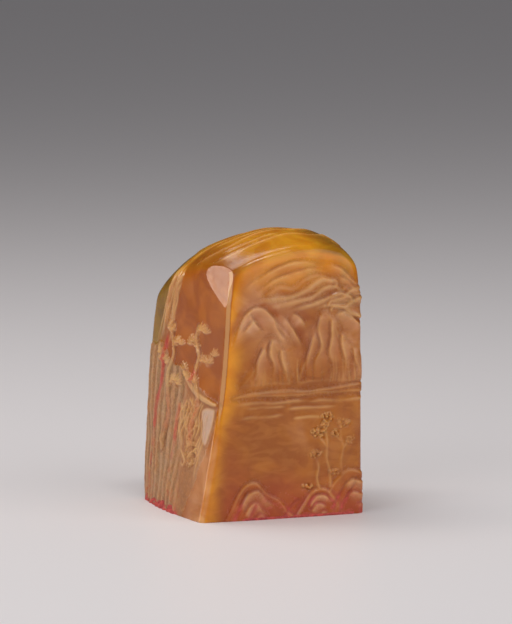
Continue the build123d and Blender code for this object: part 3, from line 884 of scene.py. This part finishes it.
def carve_crown():
    for points, crest, soft in (
        ([(-0.72, -0.5), (-0.52, -0.6), (-0.35, -0.62), (-0.05, -0.56), (0.25, -0.5), (0.5, -0.56),
          (0.72, -0.48), (0.86, -0.62)], 0.3, 0.9),
        ([(-0.78, -0.2), (-0.6, -0.3), (-0.4, -0.34), (-0.1, -0.26), (0.2, -0.2), (0.45, -0.26),
          (0.66, -0.18), (0.84, -0.3)], 0.34, 1.0),
        ([(-0.76, 0.12), (-0.6, 0.06), (-0.3, -0.02), (0.0, 0.06), (0.28, 0.12), (0.5, 0.04),
          (0.72, 0.08)], 0.3, 0.9),
        ([(-0.55, -0.46), (-0.3, -0.48), (0.0, -0.42), (0.22, -0.36)], 0.18, 0.7),
        ([(-0.5, -0.12), (-0.2, -0.16), (0.1, -0.08), (0.34, -0.06)], 0.18, 0.7),
        ([(-0.6, 0.36), (-0.32, 0.3), (0.0, 0.38), (0.3, 0.42)], 0.2, 0.9),
        ([(-0.4, 0.62), (-0.1, 0.58), (0.24, 0.66), (0.5, 0.6)], 0.16, 0.9),
    ):
        line = crown.line(points)
        fold(crown, line, crest, 0.16, soft, side=-1, start=0.12, end=0.2)
        ridge(crown, shifted(line, -0.1), 0.1, 0.5, 0.1, 0.2)
    for points, radius, turns, side in (
        ([(0.5, -0.56), (0.66, -0.5), (0.8, -0.58)], 1.5, 0.9, -1),
        ([(0.6, -0.1), (0.76, -0.14), (0.88, -0.26)], 1.4, 0.9, -1),
    ):
        ridge(crown, scroll(crown.at(points), radius, turns, side), 0.2, 0.5, 0.2, 0.1)
    crown.share("amber", everywhere, 1.0)


# Back and right: hills, a cloud and a bank, quieter than the front


def carve_back():
    for outline in (
        [(-0.8, 0.2), (-0.58, 0.3), (-0.36, 0.42), (-0.2, 0.45), (-0.04, 0.38), (0.14, 0.31),
         (0.3, 0.24), (-0.3, 0.205)],
        [(0.22, 0.3), (0.4, 0.4), (0.58, 0.52), (0.7, 0.5), (0.82, 0.4), (0.84, 0.3), (0.52, 0.285)],
    ):
        mass(back, back.line(outline, closed=True), 0.18, dome=0.24, edge=0.8, spread=2.5)
    for points in (
        [(-0.24, 0.445), (-0.3, 0.38), (-0.26, 0.32), (-0.34, 0.25)],
        [(-0.4, 0.4), (-0.48, 0.34), (-0.5, 0.28)],
        [(-0.08, 0.39), (-0.06, 0.33), (0.0, 0.27)],
        [(0.62, 0.515), (0.58, 0.44), (0.62, 0.38), (0.58, 0.32)],
        [(0.48, 0.44), (0.44, 0.38), (0.46, 0.33)],
        [(0.74, 0.47), (0.74, 0.4), (0.78, 0.34)],
    ):
        fold(back, back.line(points), 0.26, 0.14, 1.6, side=1, start=0.1, end=0.5, glow=0.5)
    for points in (
        [(-0.75, 0.165), (-0.3, 0.172), (0.2, 0.166)], [(-0.3, 0.14), (0.15, 0.145), (0.6, 0.138)],
        [(0.1, 0.25), (0.45, 0.256), (0.8, 0.25)], [(-0.1, 0.105), (0.3, 0.11), (0.7, 0.104)],
    ):
        ridge(back, back.line(points), 0.13, 0.5)
    cloud = [(-0.62, 0.62), (-0.45, 0.655), (-0.25, 0.65), (-0.05, 0.675), (0.2, 0.665), (0.3, 0.64),
             (0.05, 0.625), (-0.3, 0.61)]
    mass(back, back.line(cloud, closed=True), 0.16, dome=0.16, edge=0.6, spread=1.0)
    for points, radius, turns, side in (
        ([(-0.6, 0.61), (-0.35, 0.625), (-0.12, 0.635), (0.02, 0.642)], 1.4, 1.1, 1),
        ([(0.46, 0.63), (0.3, 0.636), (0.18, 0.648)], 1.1, 1.0, -1),
    ):
        line = scroll(back.at(points), radius, turns, side)
        for offset, rise in ((0.0, 0.18), (0.6, 0.12)):
            ridge(back, shifted(line, offset), rise, 0.42, 0.3, 0.1)


def carve_right():
    bank = [(-0.62, -0.04), (-0.58, 0.1), (-0.4, 0.155), (-0.15, 0.165), (0.1, 0.12), (0.35, 0.13),
            (0.58, 0.175), (0.8, 0.16), (0.86, 0.08), (0.86, -0.04)]
    mass(right, right.line(bank, closed=True), 0.2, dome=0.2, edge=0.7, spread=1.6)
    top = right.line(bank[1:-1])
    for scale, crest in ((0.8, 0.24), (0.58, 0.2), (0.36, 0.16)):
        line = nested(top, right.at((0.1, -0.05)), scale)
        fold(right, line, crest, 0.16, 1.2, side=-1, start=0.05, end=0.05, glow=0.4)
    for points in ([(-0.8, 0.42), (-0.4, 0.43), (0.1, 0.425), (0.5, 0.43)],
                   [(-0.3, 0.395), (0.1, 0.4), (0.6, 0.392)], [(-0.6, 0.37), (-0.25, 0.374), (0.05, 0.37)]):
        ridge(right, right.line(points), 0.12, 0.5)
    for points, crest in (
        ([(-0.7, 0.46), (-0.4, 0.53), (-0.12, 0.61), (0.1, 0.63), (0.34, 0.56), (0.62, 0.48)], 0.3),
        ([(-0.05, 0.6), (-0.1, 0.55), (-0.04, 0.5)], 0.22),
        ([(0.2, 0.585), (0.18, 0.53), (0.26, 0.48)], 0.2),
        ([(-0.28, 0.56), (-0.34, 0.52), (-0.32, 0.48)], 0.18),
    ):
        fold(right, right.line(points), crest, 0.14, 2.0, side=-1, glow=0.6)


def wear():
    """Broad unevenness that polishing leaves on every face."""
    relief[:] += layered_noise(grid.points, (11, 11, 11), 151, 3) * 0.16 * ~on_foot
    relief[:] += noise(grid.points, (3.2, 3.2, 3.2), 155) * 0.025 * ~on_foot


for carve in (wear, carve_far_range, carve_peaks, carve_shore, carve_clouds, carve_rocks, carve_grove,
              carve_cascade, carve_skin, carve_ledge, carve_roots, carve_pines, carve_vein,
              carve_crown, carve_back, carve_right):
    carve()


# Where each colour of the stone lies, and where a glow and a highlight are painted


def blot(board, name, centre, reach, amount, grain):
    """A cloudy patch of one colour, placed in shares of the board."""
    gap = (board.place / board.scale - centre) / reach
    lift = smooth(grain, -0.45, 0.35)
    board.share(name, everywhere, np.exp(-np.einsum("ij,ij->i", gap, gap)) * amount * lift)


def front_colours():
    """A painted glow in amber at the near edge and under the crown, rust beside it, and clouds of other
    colours.
    """
    places = grid.points[front.index]
    level = places[:, 2] / height
    edge_shares = (-0.985, -0.865, -0.745, -0.66, -0.585)
    edge = half_width * np.interp(level, (0, 0.18, 0.4, 0.66, 1.03), edge_shares)
    inward = places[:, 0] - edge
    drift = layered_noise(places, (9, 9, 9), 81)
    small = layered_noise(places, (4, 4, 6), 85)
    # strip and top_glow are painted glow, laid on as the amber share
    strip = smooth(inward + drift * 2.0, np.interp(level, (0, 0.4, 0.9), (5.0, 4.0, 7.5)), 1.0)
    top_glow = smooth(level + drift * 0.05, 0.76, 0.9) * 0.95
    strip = strip * (0.62 + 0.38 * smooth(level, 0.3, 0.5))
    front.share("amber", everywhere, np.maximum(strip, top_glow))
    rust = smooth(inward, 2.0, 5.0) * smooth(inward, 13.0, 7.0) * smooth(level, 0.46, 0.36)
    front.share("rust", everywhere, rust * smooth(drift, -0.5, 0.4) * 0.8)
    front.share("foot", everywhere, smooth(level + drift * 0.06, 0.22, 0.04) * smooth(inward, 3.0, 7.0))
    for name, centre, reach, amount in (
        ("pink", (-0.2, 0.76), (0.34, 0.11), 1.0), ("pink", (0.0, 0.64), (0.34, 0.07), 0.45),
        ("pink", (0.86, 0.57), (0.3, 0.08), 0.9), ("pink", (0.45, 0.66), (0.2, 0.08), 0.6),
        ("pink", (0.5, 0.3), (0.4, 0.06), 0.3), ("rust", (0.28, 0.57), (0.12, 0.08), 0.6),
        ("rust", (-0.36, 0.5), (0.16, 0.05), 0.4), ("amber", (0.1, 0.82), (0.4, 0.03), 0.8),
        ("olive", (0.7, 0.84), (0.4, 0.09), 0.6), ("pale", (0.72, 0.78), (0.34, 0.07), 0.7),
        ("pale", (0.35, 0.86), (0.3, 0.04), 0.35),
    ):
        blot(front, name, centre, reach, amount, small)


def left_and_crown_colours():
    """The brown facet, the olive rear edge and crown, and a pale painted highlight on the polished strip
    down the near edge.
    """
    level = grid.points[left.index][:, 2] / height
    across = left.place[:, 0] / half_depth
    behind = along_line(facet_edge, level) - across
    facet = smooth(behind, 0.06, -0.06) * smooth(level, 1.0, 0.9) * smooth(level, 0.3, 0.45)
    left.share("brown", everywhere, facet)
    left.share("olive", everywhere, smooth(behind, 0.1, 0.35) * smooth(level, 0.45, 0.6))
    left.share("pink", everywhere, smooth(across, 0.5, 0.7) * smooth(level, 0.34, 0.24) * 0.5)
    # A painted highlight, pale, down the polished strip at the near edge
    shares["pale"][:] = np.maximum(shares["pale"], grid.bevel * 0.9)
    x_share = crown.place[:, 0] / half_width
    crown.share("olive", everywhere, np.maximum(smooth(x_share, 0.1, 0.7) * 0.8, 0.35))


def red_stain():
    """Old seal paste worked into the hollows of the foot."""
    places = grid.points
    ragged = layered_noise(places, (2.4, 2.4, 1.6), 91)
    reach = front_side * smooth(x, -0.5 * half_width, -0.3 * half_width)
    reach = np.maximum(reach, left_side * 0.9 * smooth(-y, 0.45 * half_depth, 0.25 * half_depth))
    stain_top, stain_full = 8.5, 1.0
    low = smooth(z + ragged * 2.2, stain_top, stain_full) * reach
    spots = smooth(layered_noise(places, (1.1, 1.1, 0.9), 93), 0.05, 0.45)
    edge_spots = smooth(noise(places, (2.6, 2.6, 2.6), 95), -0.3, 0.4)
    stain = low * np.clip(0.85 * shares["shaded_hollow"] + 0.45 * spots + smooth(z, 1.3, 0.2) * edge_spots, 0, 1)
    shares["paste"][:] = np.maximum(shares["paste"], np.where(on_foot, 0.0, stain))
    shares["paste"][on_foot] = smooth(z[on_foot], 0.4, 1.0) * 0.9


front_colours()
left_and_crown_colours()
red_stain()


# The carved block as a mesh


def make_mesh(name, points, quads):
    mesh = bpy.data.meshes.new(name)
    mesh.vertices.add(len(points))
    mesh.vertices.foreach_set("co", (points * MM).astype(np.float32).ravel())
    mesh.loops.add(len(quads) * 4)
    mesh.loops.foreach_set("vertex_index", quads.astype(np.int32).ravel())
    mesh.polygons.add(len(quads))
    mesh.polygons.foreach_set("loop_start", np.arange(0, len(quads) * 4, 4, dtype=np.int32))
    mesh.polygons.foreach_set("use_smooth", np.ones(len(quads), bool))
    mesh.update(calc_edges=True)
    piece = bpy.data.objects.new(name, mesh)
    bpy.context.scene.collection.objects.link(piece)
    return piece


push = facing.copy()
push[:, 2] *= np.where(on_wall, smooth(z, 0.2, 2.0), 1.0)
relief = np.where(relief > 0, most_relief * np.tanh(relief / most_relief), relief)
carved = grid.points + push * np.where(on_foot, 0.0, relief)[:, None]
box_low, box_high = np.array(cad_box) / MM
carved = np.clip(carved, box_low, box_high)
stone = make_mesh("carved_stone", carved, grid.all_quads)
for name, values in shares.items():
    attribute = stone.data.attributes.new(name, "FLOAT", "POINT")
    attribute.data.foreach_set("value", np.clip(values, 0, 1).astype(np.float32))
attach(stone, "root")
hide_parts("stone_core", "front_rocks", "front_grove", "far_shore", "mountain_peaks",
            "shoulder_clouds", "crown_ridges", "cliff_skin", "cliff_pines", "rear_cascade", "red_vein",
            "back_hills", "back_cloud", "right_bank")


def unwrap_stone():
    """Each face of the block becomes its own sheet of the map, side by side."""
    nx, ny, rows = grid.nx, grid.ny, grid.rows
    gap = 2.0
    sheet = 2 * half_width + 2 * gap
    scale = 1.0 / (4 * sheet)
    column = np.arange(grid.columns)
    side = np.tile(np.searchsorted([nx, nx + ny, 2 * nx + ny], column, side="right"), rows)
    wall_quads, top_quads, foot_quads = grid.quads
    places = []
    axes = {0: (0, 1.0), 1: (1, 1.0), 2: (0, -1.0), 3: (1, -1.0)}
    across = np.zeros((len(wall_quads), 4))
    for face, (axis, sign) in axes.items():
        chosen = side == face
        across[chosen] = grid.points[wall_quads[chosen], axis] * sign + sheet * (face + 0.5)
    places.append(np.stack([across, grid.points[wall_quads, 2] + gap], axis=-1))
    for number, quads in enumerate((top_quads, foot_quads)):
        flip = 1.0 - 2.0 * number
        middle = (sheet * (number + 0.5), height + 2 * gap + sheet / 2)
        places.append(grid.points[quads][:, :, :2] * (flip, 1.0) + middle)
    layer = stone.data.uv_layers.new(name="OFBake")
    layer.data.foreach_set("uv", (np.concatenate(places) * scale).astype(np.float32).ravel())


unwrap_stone()


# Crumbs of dried paste: crusts that sit on the carved wall


crust_least = 0.02
crust_sunk = 0.15
left_crust_top = 3.2
front_crust_top = 1.2


def crust(name, first, last, levels, thickness, replaced):
    """A closed crumbly shell on part of the wall, from one column to another and up to a number of rows."""
    wall = carved[:grid.wall_count].reshape(grid.rows + 1, grid.columns, 3)
    out = facing[:grid.wall_count].reshape(grid.rows + 1, grid.columns, 3).copy()
    out[:, :, 2] = 0.0
    columns = np.arange(first, last)
    base, away = wall[:levels][:, columns % grid.columns], out[:levels][:, columns % grid.columns]
    thick = thickness(base)
    outer = np.clip(base + away * np.maximum(thick, crust_least)[..., None], box_low, box_high)
    inner = base - away * crust_sunk
    count = levels * len(columns)
    index = np.arange(count).reshape(levels, -1)
    corners = [index[:-1, :-1], index[:-1, 1:], index[1:, 1:], index[1:, :-1]]
    kept = np.max([thick.ravel()[c] for c in corners], axis=0) > crust_least
    quad = np.stack([c[kept] for c in corners], axis=-1)
    edges = {}
    for a, b, c, d in quad:
        for start, end in ((a, b), (b, c), (c, d), (d, a)):
            if (end, start) in edges:
                del edges[(end, start)]
            else:
                edges[(start, end)] = True
    rims = np.array([(b, a, a + count, b + count) for a, b in edges])
    used, quads = np.unique(np.concatenate([quad, quad[:, ::-1] + count, rims]), return_inverse=True)
    points = np.concatenate([outer.reshape(-1, 3), inner.reshape(-1, 3)])[used]
    piece = make_mesh(name, points, quads.reshape(-1, 4))
    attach(piece, "root")
    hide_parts(replaced)
    return piece


def left_thickness(base):
    """Thick crumbs with an uneven top, thinning out to both ends of the wall."""
    flat = base.reshape(-1, 3)
    share = -flat[:, 1] / half_depth
    crumbs = layered_noise(flat, (1.6, 1.6, 1.2), 101) * 0.55 + noise(flat, (0.6, 0.6, 0.6), 105) * 0.22
    top = 1.0 + 0.9 * noise(flat * (1, 1, 0), (3.1, 3.1, 1), 107) + 0.8 * smooth(share, -0.6, -0.8)
    ends = smooth(share, -0.9, -0.78) * smooth(share, 0.34, 0.15)
    level = flat[:, 2]
    thick = (0.1 + crumbs * 1.3) * ends + 0.25 * (top - level) - 0.22 * smooth(level, top, top + 0.8)
    thick = np.minimum(thick, 0.5) * smooth(top + 0.6 - level, 0.0, 0.5) - 0.35 * (1 - ends)
    return thick.reshape(base.shape[:2])


def front_thickness(base):
    """A thin broken line of paste along the foot."""
    flat = base.reshape(-1, 3)
    share = flat[:, 0] / half_width
    crumbs = layered_noise(flat, (1.4, 1.4, 0.8), 111) * 0.35
    ends = smooth(share, -0.6, -0.45) * smooth(share, 0.94, 0.85)
    thick = 0.1 + crumbs * 0.5 - 0.22 * smooth(flat[:, 2], 0.25, 0.75) - 0.4 * (1 - ends)
    return np.minimum(thick, 0.3).reshape(base.shape[:2])


crumb_rows = int(left_crust_top / height * grid.rows) + 2
line_rows = int(front_crust_top / height * grid.rows) + 2
left_first = 2 * grid.nx + grid.ny
paste_pieces = [
    crust("foot_crumbs", left_first, grid.columns, crumb_rows, left_thickness, "paste_left_foot"),
    crust("foot_line", 0, grid.nx, line_rows, front_thickness, "paste_front_foot"),
]


# Finishes


def tone(red, green, blue):
    """A colour given as it looks on screen, from 0 to 255."""
    linear = [((c / 255 + 0.055) / 1.055) ** 2.4 if c > 10 else c / 255 / 12.92 for c in (red, green, blue)]
    return (*linear, 1.0)


class Finish:
    """A material and short ways to add to its nodes. An input is a socket to link or a value to set."""

    def __init__(self, name):
        self.material = bpy.data.materials.new(name)
        self.material.use_nodes = True
        self.nodes = self.material.node_tree.nodes
        self.place = self.add("TexCoord", "Object", {})

    def fill(self, node, inputs):
        for name, source in inputs.items():
            if hasattr(source, "is_linked"):
                self.material.node_tree.links.new(source, node.inputs[name])
            else:
                node.inputs[name].default_value = source

    def add(self, kind, output, inputs, **settings):
        """A new node of this kind, given as one of its outputs."""
        node = self.nodes.new("ShaderNode" + kind)
        for name, value in settings.items():
            setattr(node, name, value)
        self.fill(node, inputs)
        return node.outputs[output]

    def share(self, name):
        """One of the stone's own fields, from 0 to 1."""
        return self.add("Attribute", "Fac", {}, attribute_name=name)

    def noise(self, size, detail=3.0, low=0.3, high=0.7, stretch=(1, 1, 1), warp=0.0):
        """Noise from 0 to 1 with lumps of this size in mm."""
        scale = [s / (size * MM) for s in stretch]
        place = self.add("Mapping", "Vector", {"Vector": self.place, "Scale": scale})
        grain = {"Vector": place, "Scale": 1.0, "Detail": detail, "Distortion": warp}
        return self.fit(self.add("TexNoise", "Fac", grain), low, high)

    def fit(self, value, low, high, to_low=0.0, to_high=1.0):
        """The value eased from one range to another."""
        ends = {"Value": value, "From Min": low, "From Max": high, "To Min": to_low, "To Max": to_high}
        return self.add("MapRange", "Result", ends, interpolation_type="SMOOTHSTEP")

    def math(self, kind, first, second):
        return self.add("Math", "Value", {0: first, 1: second}, operation=kind, use_clamp=True)

    def times(self, first, second):
        return self.math("MULTIPLY", first, second)

    def plus(self, first, second):
        return self.math("ADD", first, second)

    def mix(self, share, first, second):
        return self.add("Mix", 2, {0: share, 6: first, 7: second}, data_type="RGBA")

    def bump(self, depth, distance, strength, under=None):
        """Bump of this depth field on top of the bump under it, with the distance in mm."""
        inputs = {"Height": depth, "Distance": distance * MM, "Strength": strength}
        if under is not None:
            inputs["Normal"] = under
        return self.add("Bump", "Normal", inputs)

    def finish(self, inputs):
        """Give the shader its inputs, and hand over the material."""
        self.fill(self.nodes["Principled BSDF"], inputs)
        return self.material


def skin_colour(look):
    """Grey-brown grain with paler columns, warm stains and light specks."""
    grain = look.noise(1.3, 4.0, 0.38, 0.62, stretch=(1, 1, 0.4))
    colour = look.mix(grain, tone(136, 98, 56), tone(160, 120, 78))
    for share, strength, light in (
        (look.share("column"), 0.7, tone(190, 146, 112)),
        (look.noise(4.0, 3.0, 0.45, 0.65), 0.5, tone(176, 112, 54)),
        (look.noise(0.45, 3.0, 0.45, 0.62), 0.25, tone(214, 176, 132)),
    ):
        colour = look.mix(look.times(share, strength), colour, light)
    return colour


def stone_colour(look, cloudy, fine, paste):
    """Each colour of the stone, and the painted glow, highlight and shade, laid over the ones before it, by
    its share.
    """
    wisps = look.noise(5.0, 5.0, 0.42, 0.62, stretch=(0.6, 0.6, 1.6), warp=2.0)
    colour = look.mix(cloudy, tone(156, 82, 10), tone(180, 104, 18))
    colour = look.mix(look.times(wisps, 0.32), colour, tone(194, 122, 44))
    for name, strength, dark, light in (
        # amber is the stone's colour and also the painted glow at the near edge and under the crown; rust
        # and pink also paint shade below and highlight along carved folds
        ("amber", 1.0, tone(218, 132, 8), tone(234, 156, 22)),
        ("rust", 0.8, tone(150, 66, 10), tone(170, 82, 16)),
        ("foot", 1.0, tone(164, 66, 14), tone(182, 88, 28)),
        ("pink", 0.75, tone(204, 140, 94), tone(226, 176, 140)),
        ("brown", 1.0, tone(158, 78, 6), tone(180, 98, 12)),
        ("olive", 1.0, tone(124, 86, 14), tone(150, 110, 28)),
    ):
        colour = look.mix(look.times(look.share(name), strength), colour, look.mix(cloudy, dark, light))
    for name, strength, over in (
        ("skin", 0.9, skin_colour(look)),
        # pale also paints the highlight down the near-edge strip; hollow is a painted shade in grooves and
        # crest a painted highlight on raised carving
        ("pale", 0.65, tone(222, 174, 116)),
        ("lilac", 0.8, tone(200, 168, 150)),
        ("shaded_hollow", 0.5, tone(122, 54, 6)),
        ("crest", 0.44, tone(232, 180, 112)),
        ("vein", 0.8, look.mix(fine, tone(178, 46, 36), tone(204, 74, 58))),
    ):
        colour = look.mix(look.times(look.share(name), strength), colour, over)
    return look.mix(paste, colour, look.mix(fine, tone(186, 52, 50), tone(206, 84, 76)))


def stone_finish():
    look = Finish("honey_stone")
    cloudy = look.noise(9.0, 4.0, 0.35, 0.68, warp=1.2)
    fine = look.noise(0.9, 4.0, 0.35, 0.7)
    paste = look.times(look.share("paste"), look.fit(fine, 0.0, 1.0, 0.55, 1.0))
    rough = look.plus(look.times(look.share("skin"), 0.28), look.times(look.share("shaded_hollow"), 0.14))
    rough = look.plus(rough, look.times(paste, 0.35))
    scratches = look.bump(look.noise(0.35, 3.0, 0.2, 0.8, stretch=(1, 1, 0.4)), 0.02, 0.25)
    grit = look.noise(0.28, 4.0, 0.2, 0.8)
    return look.finish({
        "Base Color": stone_colour(look, cloudy, fine, paste),
        "Roughness": look.plus(rough, look.fit(fine, 0.0, 1.0, 0.2, 0.27)),
        "Normal": look.bump(grit, 0.1, look.times(look.share("skin"), 0.6), scratches),
        "Subsurface Weight": 0.35,
        "Subsurface Radius": (1.0, 0.42, 0.16),
        "Subsurface Scale": 0.0028,
        "IOR": 1.5,
    })


def paste_finish():
    look = Finish("vermilion_paste")
    lumps = look.noise(0.8, 4.0, 0.35, 0.68)
    grains = look.noise(0.25, 3.0, 0.3, 0.7)
    red = look.mix(lumps, tone(164, 34, 36), tone(208, 70, 62))
    return look.finish({
        "Base Color": look.mix(look.times(grains, 0.4), red, tone(214, 120, 108)),
        "Roughness": look.fit(grains, 0.0, 1.0, 0.55, 0.85),
        "Normal": look.bump(lumps, 0.25, 0.5, look.bump(grains, 0.12, 0.7)),
        "Subsurface Weight": 0.1,
        "Subsurface Scale": 0.001,
    })


stone.data.materials.append(stone_finish())
paste_look = paste_finish()
for piece in paste_pieces:
    piece.data.materials.append(paste_look)
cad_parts["paste_legend"].material_slots[0].material = paste_look


# Camera, lamps, floor and world


floor_colour = (0.8, 0.76, 0.76, 1)
sky_colour = (0.22, 0.22, 0.23, 1)
sky_in_gloss = (0.03, 0.03, 0.03, 1)


def add_camera():
    data = bpy.data.cameras.new("camera")
    camera = bpy.data.objects.new("camera", data)
    bpy.context.scene.collection.objects.link(camera)
    azimuth, elevation = radians(camera_azimuth), radians(camera_elevation)
    back = Vector((sin(azimuth) * cos(elevation), -cos(azimuth) * cos(elevation), sin(elevation)))
    camera.location = (Vector(camera_target) + back * camera_distance) * MM
    camera.rotation_mode = "QUATERNION"
    camera.rotation_quaternion = (-back).to_track_quat("-Z", "Y")
    data.lens = camera_lens
    data.sensor_width = 36.0
    data.clip_start, data.clip_end = 0.05, 20.0
    bpy.context.scene.camera = camera


def add_lamp(name, place, aim, size, energy, colour=(1, 1, 1)):
    """A soft box turned to its aim, with places and sides in metres and its energy in watts."""
    light = bpy.data.lights.new(name, "AREA")
    light.energy = energy
    light.shape = "RECTANGLE"
    light.size, light.size_y = size
    light.color = colour
    lamp = bpy.data.objects.new(name, light)
    lamp.location = place
    lamp.rotation_mode = "QUATERNION"
    lamp.rotation_quaternion = (Vector(aim) - Vector(place)).to_track_quat("-Z", "Y")
    bpy.context.scene.collection.objects.link(lamp)


add_camera()
add_lamp("overhead_box", (-0.12, 0.16, 0.62), (0, 0, 0.05), (0.4, 0.42), 1.7)
add_lamp("front_box", (0.5, -0.8, 0.5), (0, 0, 0.03), (1.0, 0.9), 3.5)
add_lamp("rim_box", (-0.02, -0.32, 0.74), (0, 0, 0.05), (0.22, 0.12), 1.0)
add_lamp("left_fill", (-0.78, -0.56, 0.44), (0, 0, 0.03), (0.8, 0.6), 2.9)
add_lamp("shoulder_panel", (-0.82, 0.46, 0.2), (0, 0, 0.05), (0.3, 0.24), 1.5, (1.0, 0.82, 0.68))

# The floor, with its corners in metres
floor_mesh = bpy.data.meshes.new("floor")
floor_mesh.from_pydata([(-4, -2, 0), (4, -2, 0), (4, 6, 0), (-4, 6, 0)], [], [(0, 1, 2, 3)])
floor = bpy.data.objects.new("floor", floor_mesh)
bpy.context.scene.collection.objects.link(floor)
floor_mesh.materials.append(Finish("floor_paper").finish({"Base Color": floor_colour, "Roughness": 0.5}))

bpy.context.scene.view_settings.view_transform = "Standard"
world = bpy.data.worlds.new("studio")
bpy.context.scene.world = world
world.use_nodes = True
background = world.node_tree.nodes["Background"]
rays = world.node_tree.nodes.new("ShaderNodeLightPath")
seen = world.node_tree.nodes.new("ShaderNodeMix")
seen.data_type = "RGBA"
seen.inputs[6].default_value = sky_colour
seen.inputs[7].default_value = sky_in_gloss
world.node_tree.links.new(rays.outputs["Is Glossy Ray"], seen.inputs["Factor"])
world.node_tree.links.new(seen.outputs[2], background.inputs["Color"])
